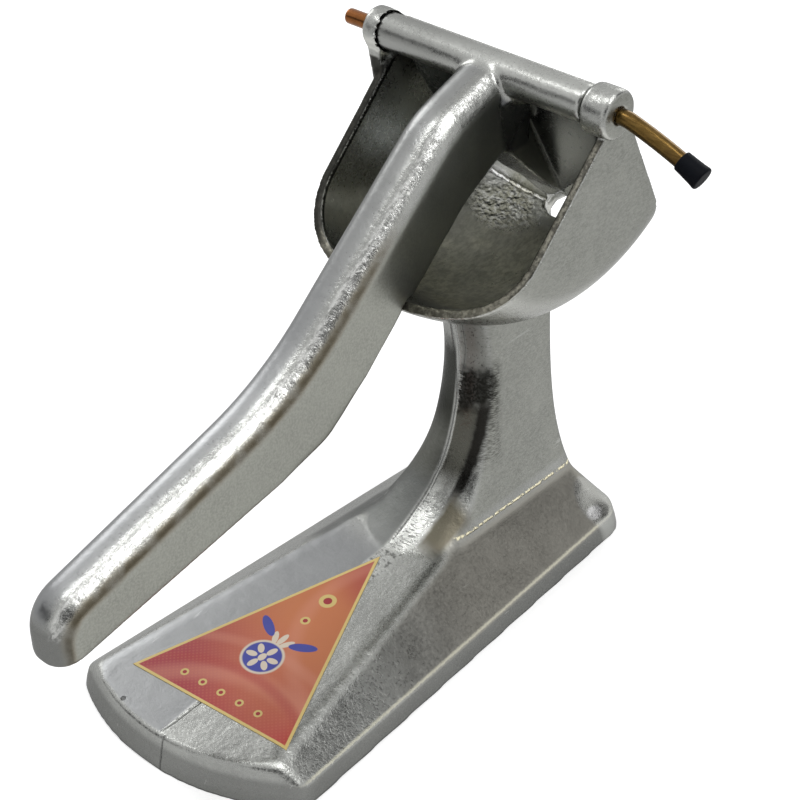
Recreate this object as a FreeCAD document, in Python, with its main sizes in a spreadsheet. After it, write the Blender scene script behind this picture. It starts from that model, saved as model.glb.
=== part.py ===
import FreeCAD, Part
import Sketcher
import math
import os
from FreeCAD import Placement, Rotation, Vector

# Pomegranate juice press, millimetres and degrees.
# Origin on the table, in the middle of the width and straight under the pivot rod.
# X runs along the pivot rod towards its bent end, -Y towards the handle, +Z up.

SIZES = {
    # height of the pivot rod above the table
    "pivot_height": 285,
    # pivot rod, its bent end and its cap
    "rod_diameter": 8,
    "rod_left_end": 92.9,
    "rod_bend_start": 76.4,
    "rod_bend_radius": 20,
    "rod_bend_angle": 16,
    "rod_tail_radius": 283,
    "rod_tail_angle": 7.8,
    "bore_clearance": 0.08,
    "cap_length": 13,
    "cap_grip": 9,
    "cap_inner_diameter_end": 9.8,
    "cap_outer_diameter_end": 12,
    "cap_edge_round": 1.2,
    "cap_clearance": 0.02,
    # bowl, a trough swept about the pivot
    "bowl_half_width": 68.4,
    "bowl_depth": 122.8,
    "bowl_corner_radius": 41,
    "bowl_bottom_radius": 112,
    "bowl_wall": 5,
    "front_angle": 43.9,
    "front_setback": 9,
    "rear_angle": 28.2,
    "rear_setback": 11.8,
    "rear_wall": 4.2,
    "bridge_rise": 1,
    "sleeve_recess_gap": 1,
    # bosses that carry the rod
    "left_boss_diameter": 21.5,
    "left_boss_outer": 76,
    "left_boss_step": 1.5,
    "left_boss_step_diameter": 17.5,
    "left_boss_inner": 67.2,
    "right_boss_diameter": 24.5,
    "right_boss_outer": 76.1,
    "right_boss_inner": 59.6,
    "boss_round": 2.2,
    "boss_lip_diameter": 14,
    "boss_lip": 0.8,
    "bore_flare": 0.9,
    "gusset_depth": 38,
    "gusset_width": 14,
    # juice outlet
    "outlet_diameter": 16.4,
    "outlet_angle": 32.6,
    "outlet_funnel_diameter": 22,
    "outlet_boss_diameter": 25,
    "outlet_boss_reach": 20,
    "outlet_rim": 2.5,
    # lever: sleeve
    "sleeve_diameter": 18.5,
    "sleeve_left": 66.7,
    "sleeve_right": 58.4,
    # lever: handle and spine, seen from the side, from the pivot
    "lever_width": 28,
    "handle_top_round": 12,
    "handle_edge_round": 1.8,
    "crest_z": 8.6,
    "neck_y": -46,
    "neck_z": -8,
    "neck_radius": 60,
    "bend_y": -152.5,
    "bend_z": -103.1,
    "bend_radius": 152,
    "handle_slope": 17.2,
    "tip_y": -296,
    "tip_top_radius": 22,
    "tip_depth": 28.8,
    "tip_heel_length": 34,
    "tip_heel_rise": 7,
    "tip_heel_radius": 40,
    "underbend_y": -128,
    "underbend_z": -142.5,
    "underbend_radius": 30,
    "notch_reach": 7,
    "notch_clearance": 1.4,
    "notch_step": 5.2,
    "notch_radius": 1.5,
    "spine_y": -32.7,
    "spine_z": -53,
    "spine_radius": 60,
    "crotch_y": -4.3,
    "crotch_z": -36.7,
    "crotch_radius": 3,
    "rib_y": 27,
    "rib_z": -66.5,
    "rib_radius": 60,
    "rib_end": 95,
    "lever_wall": 4.5,
    "lever_top_wall": 7.5,
    "channel_start": 104,
    # lever: press plate
    "plate_angle": 30,
    "plate_setback": -2,
    "plate_thickness": 4.5,
    "plate_half_width": 58.6,
    "plate_shoulder": 10,
    "plate_waist": 54.5,
    "plate_waist_depth": 46,
    "plate_point": 105,
    "plate_point_radius": 10,
    # base plate of the stand
    "base_half_width": 62.1,
    "base_flare": 0.05,
    "base_front_left": 227,
    "base_front_right": 212,
    "base_front_radius": 129,
    "base_front_corner": 8.5,
    "base_rear": 65,
    "base_rear_corner": 17,
    "rim_height": 11.5,
    "rim_draft": 12.7,
    "slope_overhang": 6,
    "base_wall": 4.5,
    "cross_rib_width": 5,
    "cross_rib_height": 8,
    # rise of the base towards the column
    "plateau_start": 245,
    "plateau_start_height": 19,
    "plateau_start_width": 63.5,
    "foot_front": 50,
    "foot_rear": 45.5,
    "foot_height": 38.3,
    "foot_half_width": 27,
    "heel_half_width": 45,
    # column
    "column_half_width": 17.8,
    "column_foot_spread": 11.2,
    "column_side_decay": 30,
    "column_front": 18,
    "column_toe": 47,
    "column_toe_height": 41,
    "column_front_decay": 22,
    "column_crown": 7,
    "column_crown_drop": 126.4,
    "column_crown_length": 44.6,
    "column_back": 34,
    "column_back_spread": 14.5,
    "column_back_decay": 75,
    "column_back_corner": 6,
    "column_start": 34,
    "column_lap": 9.8,
    "column_wall": 4.2,
    "seat_thickness": 18.2,
    "seat_gap": 0.15,
    # screws that hold the bowl on the column
    "bolt_diameter": 8,
    "bolt_length": 20,
    "bolt_head_across": 13,
    "bolt_head_height": 5.3,
    "bolt_front_y": 0,
    "bolt_rear_y": 22,
    "bolt_hole_diameter": 8.8,
    "thread_clearance": 0.05,
    "washer_diameter": 16,
    "washer_thickness": 1.6,
    "lock_washer_diameter": 14.2,
    "lock_washer_thickness": 2,
    "lock_washer_split": 1.2,
    "boss_pad_diameter": 16,
    "boss_pad_reach": 10,
    "boss_pad_gap": 0.3,
    # label
    "label_thickness": 0.3,
    "label_apex_x": 2.5,
    "label_apex_y": -83,
    "label_left_x": -45,
    "label_left_y": -215.5,
    "label_right_x": 54,
    "label_right_y": -205.5,
    "label_corner": 1,
}

# The column's nose as shares of its half width: how long it is and how blunt its tip
NOSE_LENGTH = 0.75
NOSE_TIP_RADIUS = 1.2
COLUMN_STATIONS = 9
STATION_CROWDING = 1.5

doc = FreeCAD.newDocument("juice_press")
sheet = doc.addObject("Spreadsheet::Sheet", "Sizes")
for row, (alias, number) in enumerate(SIZES.items(), start=1):
    sheet.set(f"A{row}", alias)
    sheet.set(f"B{row}", str(number))
    sheet.setAlias(f"B{row}", alias)
doc.recompute()


class Size:
    """A number worked out from the sheet, with the words that bind a property to the same sum."""

    def __init__(self, number, words):
        self.number = float(number)
        self.words = words

    def __add__(self, other):
        other = as_size(other)
        return Size(self.number + other.number, f"({self.words} + {other.words})")

    def __sub__(self, other):
        other = as_size(other)
        return Size(self.number - other.number, f"({self.words} - {other.words})")

    def __mul__(self, other):
        other = as_size(other)
        return Size(self.number * other.number, f"({self.words} * {other.words})")

    def __truediv__(self, other):
        other = as_size(other)
        return Size(self.number / other.number, f"({self.words} / {other.words})")

    def __neg__(self):
        return Size(-self.number, f"(0 - {self.words})")

    def __radd__(self, other):
        return as_size(other) + self

    def __rsub__(self, other):
        return as_size(other) - self

    def __rmul__(self, other):
        return as_size(other) * self

    def __rtruediv__(self, other):
        return as_size(other) / self


def as_size(value):
    return value if isinstance(value, Size) else Size(value, repr(float(value)))


def size(alias):
    return Size(sheet.get(alias), f"Sizes.{alias}")


def sine(angle):
    return Size(math.sin(math.radians(angle.number)), f"sin({angle.words})")


def cosine(angle):
    return Size(math.cos(math.radians(angle.number)), f"cos({angle.words})")


def root(value):
    return Size(math.sqrt(value.number), f"sqrt({value.words})")


def exponent(value):
    return Size(math.exp(value.number), f"exp({value.words})")


def bind(item, prop, value):
    item.setExpression(prop, as_size(value).words)


def new_body(name):
    body = doc.addObject("PartDesign::Body", name)
    doc.recompute()
    return body


def origin_part(body, role):
    return next(part for part in body.Origin.OriginFeatures if part.Role == role)


def new_sketch(body, role, name, lift=None):
    """A sketch on one of the body's own origin planes, lifted along its normal by a size."""
    sketch = body.newObject("Sketcher::SketchObject", name)
    sketch.AttachmentSupport = (origin_part(body, role), [""])
    sketch.MapMode = "FlatFace"
    if lift is not None:
        bind(sketch, "AttachmentOffset.Base.z", lift)
    return sketch


def pin(sketch, geometry, vertex, x, y):
    """Holds a point at sizes x and y from the sketch's origin."""
    for kind, value, axis in (("DistanceX", as_size(x), -2), ("DistanceY", as_size(y), -1)):
        if value.words == repr(0.0):
            sketch.addConstraint(Sketcher.Constraint("PointOnObject", geometry, vertex, axis))
        else:
            index = sketch.addConstraint(
                Sketcher.Constraint(kind, -1, 1, geometry, vertex, value.number)
            )
            bind(sketch, f"Constraints[{index}]", value)


def set_radius(sketch, geometry, radius):
    index = sketch.addConstraint(Sketcher.Constraint("Radius", geometry, radius.number))
    bind(sketch, f"Constraints[{index}]", radius)


def draw_circle(sketch, x, y, diameter):
    radius = as_size(diameter) / 2
    centre = Vector(as_size(x).number, as_size(y).number, 0)
    circle = sketch.addGeometry(Part.Circle(centre, Vector(0, 0, 1), radius.number), False)
    pin(sketch, circle, 3, x, y)
    set_radius(sketch, circle, radius)


def draw_outline(sketch, corners):
    """A closed outline of straight lines. A corner is (x, y) where it is sharp and (x, y, radius)
    where it is rounded: then the lines run to a construction point that marks the corner."""
    corners = [tuple(as_size(value) for value in corner) for corner in corners]
    spots = [Vector(corner[0].number, corner[1].number, 0) for corner in corners]
    count = len(corners)
    arrive, leave, centres = [], [], []
    for i, spot in enumerate(spots):
        if len(corners[i]) == 2:
            arrive.append(spot)
            leave.append(spot)
            centres.append(None)
            continue
        radius = corners[i][2].number
        back = (spots[i - 1] - spot).normalize()
        ahead = (spots[(i + 1) % count] - spot).normalize()
        half = back.getAngle(ahead) / 2
        arrive.append(spot + back * (radius / math.tan(half)))
        leave.append(spot + ahead * (radius / math.tan(half)))
        centres.append(spot + (back + ahead).normalize() * (radius / math.sin(half)))
    lines = [
        sketch.addGeometry(Part.LineSegment(leave[i], arrive[(i + 1) % count]), False)
        for i in range(count)
    ]
    for i, spot in enumerate(spots):
        before, after = lines[i - 1], lines[i]
        if centres[i] is None:
            sketch.addConstraint(Sketcher.Constraint("Coincident", before, 2, after, 1))
            pin(sketch, after, 1, corners[i][0], corners[i][1])
            continue
        into, out = arrive[i] - centres[i], leave[i] - centres[i]
        turns_left = into.cross(out).z > 0
        start, end = (into, out) if turns_left else (out, into)
        circle = Part.Circle(centres[i], Vector(0, 0, 1), corners[i][2].number)
        angles = [math.atan2(arm.y, arm.x) for arm in (start, end)]
        arc = sketch.addGeometry(Part.ArcOfCircle(circle, angles[0], angles[1]), False)
        near, far = (1, 2) if turns_left else (2, 1)
        sketch.addConstraint(Sketcher.Constraint("Tangent", before, 2, arc, near))
        sketch.addConstraint(Sketcher.Constraint("Tangent", after, 1, arc, far))
        set_radius(sketch, arc, corners[i][2])
        mark = sketch.addGeometry(Part.Point(spot), True)
        pin(sketch, mark, 1, corners[i][0], corners[i][1])
        sketch.addConstraint(Sketcher.Constraint("PointOnObject", mark, 1, before))
        sketch.addConstraint(Sketcher.Constraint("PointOnObject", mark, 1, after))


def pad_of(body, sketch, length, symmetric=False, draft=None):
    pad = body.newObject("PartDesign::Pad", sketch.Name + "_pad")
    pad.Profile = sketch
    bind(pad, "Length", length)
    if symmetric:
        pad.SideType = "Symmetric"
    if draft is not None:
        bind(pad, "TaperAngle", -draft)
    return pad


def turned(body, sketch, axis, name):
    turn = body.newObject("PartDesign::Revolution", name)
    turn.Profile = sketch
    turn.ReferenceAxis = (origin_part(body, axis), [""])
    turn.Angle = 360
    return turn


def lofted(body, sketches, name, ruled):
    loft = body.newObject("PartDesign::AdditiveLoft", name)
    loft.Profile = sketches[0]
    loft.Sections = sketches[1:]
    loft.Ruled = ruled
    return loft


def cylinder(name, diameter, height, place=(0, 0, 0), rotation=Rotation()):
    item = doc.addObject("Part::Cylinder", name)
    bind(item, "Radius", as_size(diameter) / 2)
    bind(item, "Height", height)
    item.Placement = Placement(Vector(*(as_size(value).number for value in place)), rotation)
    for axis, value in zip("xyz", place):
        bind(item, f"Placement.Base.{axis}", value)
    return item


ALONG_X = Rotation(Vector(0, 1, 0), 90)


def rod_shaped(name, diameter, x_start, x_end):
    """A cylinder along the pivot axis, from one X to another."""
    return cylinder(name, diameter, x_end - x_start, (x_start, 0, 0), ALONG_X)


def joined(name, *items):
    item = doc.addObject("Part::MultiFuse", name)
    item.Shapes = list(items)
    return item


def shared(name, *items):
    item = doc.addObject("Part::MultiCommon", name)
    item.Shapes = list(items)
    return item


def cut_away(name, base, tool):
    item = doc.addObject("Part::Cut", name)
    item.Base = base
    item.Tool = tool
    return item


def lift_to(item, height):
    bind(item, "Placement.Base.z", height)


def fan_point(angle, setback, depth):
    """A point in the side view, from the pivot: depth along a plane that leans back by angle
    from straight down and stands off the pivot by setback."""
    return (
        depth * sine(angle) + setback * cosine(angle),
        setback * sine(angle) - depth * cosine(angle),
    )


# Bowl

def trough_profile(sketch, growth):
    """Half of the trough's section, grown outwards by growth and closed on the pivot axis."""
    half_width = size("bowl_half_width") + growth
    depth = size("bowl_depth") + growth
    corner = size("bowl_corner_radius") + growth
    bottom = size("bowl_bottom_radius") + growth
    side = half_width - corner
    swing = bottom - corner
    corner_depth = depth - bottom + root(swing * swing - side * side)
    meet_x = side * bottom / swing
    meet_depth = depth - bottom + (corner_depth - depth + bottom) * bottom / swing
    centres = {1: (side, -corner_depth), -1: (-side, -corner_depth), 0: (0, bottom - depth)}
    top_left, top_right = (-half_width, 0), (half_width, 0)
    low_left, low_right = (-half_width, -corner_depth), (half_width, -corner_depth)
    join_left, join_right = (-meet_x, -meet_depth), (meet_x, -meet_depth)

    def spot(pair):
        return Vector(as_size(pair[0]).number, as_size(pair[1]).number, 0)

    def line(start, end):
        return sketch.addGeometry(Part.LineSegment(spot(start), spot(end)), False)

    def arc(side_key, radius, start, end):
        centre = spot(centres[side_key])
        arms = [spot(point) - centre for point in (start, end)]
        angles = [math.atan2(arm.y, arm.x) for arm in arms]
        circle = Part.Circle(centre, Vector(0, 0, 1), radius.number)
        return sketch.addGeometry(Part.ArcOfCircle(circle, angles[0], angles[1]), False)

    top = line(top_right, top_left)
    left = line(top_left, low_left)
    left_corner = arc(-1, corner, low_left, join_left)
    floor = arc(0, bottom, join_left, join_right)
    right_corner = arc(1, corner, join_right, low_right)
    right = line(low_right, top_right)
    loop = [top, left, left_corner, floor, right_corner, right]
    for before, after, kind in zip(
        loop,
        loop[1:] + loop[:1],
        ("Coincident", "Tangent", "Tangent", "Tangent", "Tangent", "Coincident"),
    ):
        sketch.addConstraint(Sketcher.Constraint(kind, before, 2, after, 1))
    pin(sketch, top, 1, *top_right)
    pin(sketch, top, 2, *top_left)
    for edge in (left, right):
        sketch.addConstraint(Sketcher.Constraint("Vertical", edge))
    set_radius(sketch, left_corner, corner)
    set_radius(sketch, right_corner, corner)
    set_radius(sketch, floor, bottom)
    pin(sketch, floor, 3, 0, bottom - depth)


def drum(name, growth):
    """The trough's section turned right round the pivot axis."""
    body = new_body(name)
    sketch = new_sketch(body, "XZ_Plane", name + "_section")
    trough_profile(sketch, as_size(growth))
    turned(body, sketch, "X_Axis", name + "_turn")
    return body


def fan(name, rear_setback, half_width, top_rise):
    """The wedge, seen from the side, that the rim plane and the rear wall cut out of the drum."""
    front_angle = -size("front_angle")
    front_setback = size("front_setback")
    rear_angle = size("rear_angle")
    reach = size("bowl_depth") * 1.3
    inside = size("sleeve_diameter") / 2
    body = new_body(name)
    sketch = new_sketch(body, "YZ_Plane", name + "_outline")
    corners = [
        fan_point(front_angle, front_setback, reach),
        fan_point(rear_angle, rear_setback, reach),
        fan_point(rear_angle, rear_setback, -top_rise),
        fan_point(rear_angle, inside / 2, -top_rise),
        fan_point(front_angle, front_setback, size("front_setback")),
    ]
    draw_outline(sketch, corners)
    pad_of(body, sketch, half_width * 2, symmetric=True)
    return body


def make_bowl():
    half_width = size("bowl_half_width")
    wall = size("bowl_wall")
    rear_inner = size("rear_setback") - size("rear_wall")
    sleeve_room = size("sleeve_diameter") + 2 * size("sleeve_recess_gap")
    outer = shared(
        "bowl_block",
        drum("outer_drum", 0),
        fan("outer_fan", size("rear_setback"), half_width * 1.1, size("bridge_rise")),
    )
    hollow = shared(
        "bowl_hollow",
        drum("inner_drum", -wall),
        fan("inner_fan", rear_inner, half_width, size("bridge_rise") + sleeve_room),
    )
    outlet_boss = radial_cylinder(
        "outlet_boss", size("outlet_boss_diameter"),
        size("bowl_depth") - size("outlet_boss_reach"), size("bowl_depth") + size("outlet_rim"),
    )
    walls = cut_away("bowl_walls", joined("bowl_with_outlet", outer, outlet_boss), hollow)

    right_boss = rod_shaped(
        "right_boss", size("right_boss_diameter"), size("right_boss_inner"),
        size("right_boss_outer") - size("boss_lip"),
    )
    right_round = doc.addObject("Part::Fillet", "right_boss_round")
    right_round.Base = right_boss
    doc.recompute()
    rounded_edges = [
        (index, size("boss_round").number, size("boss_round").number)
        for index, edge in enumerate(right_boss.Shape.Edges, start=1)
        if len(edge.Vertexes) == 1 and edge.BoundBox.XLength < 0.01
    ]
    right_round.Edges = rounded_edges
    right_lip = rod_shaped(
        "right_lip", size("boss_lip_diameter"),
        size("right_boss_outer") - size("boss_lip") * 3, size("right_boss_outer"),
    )
    left_boss = rod_shaped(
        "left_boss", size("left_boss_diameter"),
        size("left_boss_step") - size("left_boss_outer"), wall - half_width,
    )
    left_step = rod_shaped(
        "left_step", size("left_boss_step_diameter"),
        -size("left_boss_outer"), wall - half_width,
    )
    gusset = new_body("left_gusset")
    gusset_sketch = new_sketch(gusset, "XZ_Plane", "gusset_side")
    draw_outline(gusset_sketch, [
        (wall / 2 - half_width, 0), (-size("left_boss_outer"), -(size("left_boss_diameter") / 4)),
        (-half_width, -size("gusset_depth")), (wall / 2 - half_width, -size("gusset_depth")),
    ])
    pad_of(gusset, gusset_sketch, size("gusset_width"), symmetric=True)
    pads = [
        cylinder(
            f"boss_pad_{place}", size("boss_pad_diameter"), size("boss_pad_reach"),
            (0, size(f"bolt_{place}_y"), pad_bottom() - size("pivot_height")),
        )
        for place in ("front", "rear")
    ]
    body = joined(
        "bowl_solid", walls, right_round, right_lip, left_boss, left_step, gusset, *pads
    )

    bore = size("rod_diameter") + 2 * size("bore_clearance")
    rod_bore = rod_shaped("rod_bore", bore, -size("rod_left_end"), size("rod_bend_start") * 1.2)
    flare = doc.addObject("Part::Cone", "bore_flare")
    bind(flare, "Radius1", bore / 2)
    bind(flare, "Radius2", bore / 2 + size("bore_flare"))
    bind(flare, "Height", size("bore_flare") * 3)
    flare.Placement = Placement(Vector(), ALONG_X)
    bind(flare, "Placement.Base.x", size("right_boss_outer") - size("bore_flare") * 3)
    sleeve_recess = rod_shaped(
        "sleeve_recess", sleeve_room, -size("left_boss_inner"), size("right_boss_inner")
    )
    outlet_hole = radial_cylinder(
        "outlet_hole", size("outlet_diameter"),
        size("bowl_depth") - wall * 3, size("bowl_depth") + size("outlet_rim") * 2,
    )
    funnel = doc.addObject("Part::Cone", "outlet_funnel")
    bind(funnel, "Radius1", size("outlet_funnel_diameter") / 2)
    bind(funnel, "Radius2", size("outlet_diameter") / 2)
    bind(funnel, "Height", wall)
    place_radially(funnel, size("bowl_depth") - wall)
    threads = [
        cylinder(
            f"thread_{place}", size("bolt_diameter") + 2 * size("thread_clearance"),
            bolt_tip() - pad_bottom() + 2,
            (0, size(f"bolt_{place}_y"), pad_bottom() - size("pivot_height") - 1),
        )
        for place in ("front", "rear")
    ]
    tools = joined("bowl_cuts", rod_bore, flare, sleeve_recess, outlet_hole, funnel, *threads)
    bowl = cut_away("bowl", body, tools)
    lift_to(bowl, size("pivot_height"))
    return bowl


def place_radially(item, radius):
    """Stands a round item on the line from the pivot to the outlet, its base at radius."""
    angle = size("outlet_angle")
    item.Placement = Placement(Vector(), Rotation(Vector(1, 0, 0), 180 + angle.number))
    bind(item, "Placement.Base.y", radius * sine(angle))
    bind(item, "Placement.Base.z", -(radius * cosine(angle)))
    bind(item, "Placement.Rotation.Angle", 180 + angle)


def radial_cylinder(name, diameter, start, end):
    item = cylinder(name, diameter, end - start)
    place_radially(item, start)
    return item


# Heights in the joint between bowl and column, from the table

def core_top():
    return size("pivot_height") - size("bowl_depth") - size("seat_thickness")


def column_top():
    return size("pivot_height") - size("bowl_depth") + size("column_lap")


def head_top():
    return core_top() - size("washer_thickness") - size("lock_washer_thickness")


def bolt_tip():
    return head_top() + size("bolt_length")


def pad_bottom():
    return core_top() + size("boss_pad_reach")


# Lever

def lever_side(sketch):
    """The handle, the spine and the leg behind the press plate, seen from the side."""
    plate_angle = size("plate_angle")
    behind = size("plate_setback") + size("plate_thickness") / 2
    rim_angle, rim_face = -size("front_angle"), size("front_setback")
    inner_depth = size("bowl_depth") - size("bowl_wall")
    clearance = size("notch_clearance")
    draw_outline(sketch, [
        (0, size("crest_z")),
        (size("neck_y"), size("neck_z"), size("neck_radius")),
        (size("bend_y"), size("bend_z"), size("bend_radius")),
        (size("tip_y"), tip_top(), size("tip_top_radius")),
        (size("tip_y"), tip_bottom()),
        (size("tip_y") + size("tip_heel_length"), tip_bottom() + size("tip_heel_rise"),
         size("tip_heel_radius")),
        (size("underbend_y"), size("underbend_z"), size("underbend_radius")),
        fan_point(rim_angle, rim_face, size("bowl_depth") + size("notch_reach")),
        (*fan_point(rim_angle, rim_face - clearance, inner_depth - clearance),
         size("notch_radius")),
        (*fan_point(rim_angle, rim_face + clearance, inner_depth - size("notch_step")),
         size("notch_radius")),
        (size("spine_y"), size("spine_z"), size("spine_radius")),
        (size("crotch_y"), size("crotch_z"), size("crotch_radius")),
        (size("rib_y"), size("rib_z"), size("rib_radius")),
        fan_point(plate_angle, behind, size("rib_end")),
        fan_point(plate_angle, behind, as_size(0)),
    ])


def tip_top():
    """Height of the handle's straight top line where it reaches the tip, from the pivot."""
    slope = size("handle_slope")
    return size("bend_z") - (size("bend_y") - size("tip_y")) * sine(slope) / cosine(slope)


def tip_bottom():
    return tip_top() - size("tip_depth")


def handle_channel(sketch):
    """The hollow under the handle, open downwards."""
    wall = size("lever_wall")
    drop = size("lever_top_wall")
    slope = (size("neck_z") - size("bend_z")) / (size("neck_y") - size("bend_y"))
    start_y = -size("channel_start")
    draw_outline(sketch, [
        (start_y, tip_bottom()),
        (start_y, size("neck_z") + slope * (start_y - size("neck_y")) - drop),
        (size("bend_y"), size("bend_z") - drop, size("bend_radius") / 2),
        (size("tip_y") + wall * 3.4, tip_top() + wall - drop, wall),
        (size("tip_y") + wall * 2.6, tip_bottom()),
    ])


def plate_outline(sketch):
    width = size("plate_half_width")
    shoulder = size("plate_shoulder")
    waist, waist_depth = size("plate_waist"), size("plate_waist_depth")
    round_off = size("plate_point_radius")
    draw_outline(sketch, [
        (-width, -shoulder / 2),
        (-width, -shoulder, waist),
        (-waist, -waist_depth, waist_depth / 2),
        (0, -size("plate_point"), round_off),
        (waist, -waist_depth, waist_depth / 2),
        (width, -shoulder, waist),
        (width, -shoulder / 2),
    ])


def make_lever():
    width = size("lever_width")
    side = new_body("lever_spine")
    side_sketch = new_sketch(side, "YZ_Plane", "lever_side")
    lever_side(side_sketch)
    pad_of(side, side_sketch, width, symmetric=True)
    round_edges(side, "handle_top_round", lies_on_crest)
    round_edges(side, "handle_edge_round", lies_under_handle)

    channel = new_body("lever_channel")
    channel_sketch = new_sketch(channel, "YZ_Plane", "channel_side")
    handle_channel(channel_sketch)
    pad_of(channel, channel_sketch, width - size("lever_wall") * 2, symmetric=True)

    plate = new_body("press_plate")
    plate_sketch = new_sketch(plate, "XZ_Plane", "plate_outline", -size("plate_setback"))
    plate_outline(plate_sketch)
    plate_pad = pad_of(plate, plate_sketch, size("plate_thickness"))
    plate_pad.Reversed = True
    plate.Placement = Placement(
        Vector(), Rotation(Vector(1, 0, 0), size("plate_angle").number)
    )
    bind(plate, "Placement.Rotation.Angle", size("plate_angle"))

    sleeve = rod_shaped(
        "sleeve", size("sleeve_diameter"), -size("sleeve_left"), size("sleeve_right")
    )
    solid = joined("lever_solid", side, plate, sleeve)
    bore = rod_shaped(
        "sleeve_bore", size("rod_diameter") + 2 * size("bore_clearance"),
        -size("sleeve_left") * 1.1, size("sleeve_right") * 1.1,
    )
    lever = cut_away("lever", solid, joined("lever_cuts", bore, channel))
    lift_to(lever, size("pivot_height"))
    return lever


def lies_on_crest(edge, middle):
    """True for the long edges at the top of the handle and the upright ones at its tip."""
    if edge.BoundBox.XLength > 0.01 or middle.y > size("crotch_y").number * 2:
        return False
    return middle.z > crest_height(middle.y) - 4 or at_tip(middle)


def lies_under_handle(edge, middle):
    """True for the edges round the handle's underside, from its tip to the rim of the bowl."""
    low = middle.z < crest_height(middle.y) - size("handle_top_round").number - 4
    along = edge.BoundBox.XLength < 0.01 and edge.BoundBox.YLength > 0.01
    return middle.y < rim_front().number - 1 and low and along or on_lowest_edge(middle)


def rim_front():
    """Where the lever's underside meets the notch in front of the bowl's rim."""
    return fan_point(
        -size("front_angle"), size("front_setback"), size("bowl_depth") + size("notch_reach")
    )[0]


def at_tip(middle):
    return (
        abs(middle.y - size("tip_y").number) < 0.1
        and middle.z > tip_bottom().number + 0.1
    )


def on_lowest_edge(middle):
    return abs(middle.z - tip_bottom().number) < 0.1


def crest_height(y):
    """Height of the straight lines along the top of the handle at y, from the pivot."""
    spots = [
        (size("tip_y").number, tip_top().number),
        (size("bend_y").number, size("bend_z").number),
        (size("neck_y").number, size("neck_z").number),
        (0, size("crest_z").number),
    ]
    for (y0, z0), (y1, z1) in zip(spots, spots[1:]):
        if y <= y1:
            return z0 + (z1 - z0) * (y - y0) / (y1 - y0)
    return spots[-1][1]


def round_edges(body, radius_name, wanted):
    """Rounds those edges of a body for which wanted(edge, its middle) is true."""
    doc.recompute()
    base = body.Tip
    names = []
    for index, edge in enumerate(base.Shape.Edges, start=1):
        middle = edge.valueAt((edge.FirstParameter + edge.LastParameter) / 2)
        if wanted(edge, middle):
            names.append(f"Edge{index}")
    fillet = body.newObject("PartDesign::Fillet", radius_name)
    fillet.Base = (base, names)
    bind(fillet, "Radius", size(radius_name))


# Pivot rod and cap

def make_rod():
    body = new_body("rod_body")
    radius = size("rod_diameter") / 2
    bend, bend_turn = size("rod_bend_radius"), size("rod_bend_angle")
    tail, tail_turn = size("rod_tail_radius"), size("rod_tail_angle")
    start, knee = -size("rod_left_end"), size("rod_bend_start")
    mid_x, mid_z = knee + bend * sine(bend_turn), bend * cosine(bend_turn) - bend
    end_x, end_z = tail_end()
    path = new_sketch(body, "XZ_Plane", "rod_path")
    straight = path.addGeometry(
        Part.LineSegment(Vector(start.number, 0, 0), Vector(knee.number, 0, 0)), False
    )
    turn = path.addGeometry(
        Part.ArcOfCircle(
            Part.Circle(Vector(knee.number, -bend.number, 0), Vector(0, 0, 1), bend.number),
            math.radians(90 - bend_turn.number), math.radians(90),
        ), False,
    )
    tail_centre = Vector(
        mid_x.number - tail.number * math.sin(math.radians(bend_turn.number)),
        mid_z.number - tail.number * math.cos(math.radians(bend_turn.number)), 0,
    )
    tail_arc = path.addGeometry(
        Part.ArcOfCircle(
            Part.Circle(tail_centre, Vector(0, 0, 1), tail.number),
            math.radians(90 - bend_turn.number - tail_turn.number),
            math.radians(90 - bend_turn.number),
        ), False,
    )
    path.addConstraint(Sketcher.Constraint("Tangent", straight, 2, turn, 2))
    path.addConstraint(Sketcher.Constraint("Tangent", turn, 1, tail_arc, 2))
    pin(path, straight, 1, start, 0)
    pin(path, straight, 2, knee, 0)
    set_radius(path, turn, bend)
    set_radius(path, tail_arc, tail)
    index = path.addConstraint(
        Sketcher.Constraint("DistanceX", -1, 1, turn, 1, mid_x.number)
    )
    bind(path, f"Constraints[{index}]", mid_x)
    index = path.addConstraint(
        Sketcher.Constraint("DistanceX", -1, 1, tail_arc, 1, end_x.number)
    )
    bind(path, f"Constraints[{index}]", end_x)
    section = new_sketch(body, "YZ_Plane", "rod_section", start)
    draw_circle(section, 0, 0, radius * 2)
    pipe = body.newObject("PartDesign::AdditivePipe", "rod_pipe")
    pipe.Profile = section
    pipe.Spine = (path, [])
    body.Label = "pivot_rod"
    lift_to(body, size("pivot_height"))
    return body


def tail_end():
    """Where the rod's bent end stops, from the pivot, in X and Z."""
    bend, bend_turn = size("rod_bend_radius"), size("rod_bend_angle")
    tail, tail_turn = size("rod_tail_radius"), size("rod_tail_angle")
    whole_turn = bend_turn + tail_turn
    mid_x, mid_z = size("rod_bend_start") + bend * sine(bend_turn), bend * cosine(bend_turn) - bend
    return (
        mid_x + tail * (sine(whole_turn) - sine(bend_turn)),
        mid_z + tail * (cosine(whole_turn) - cosine(bend_turn)),
    )


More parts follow.
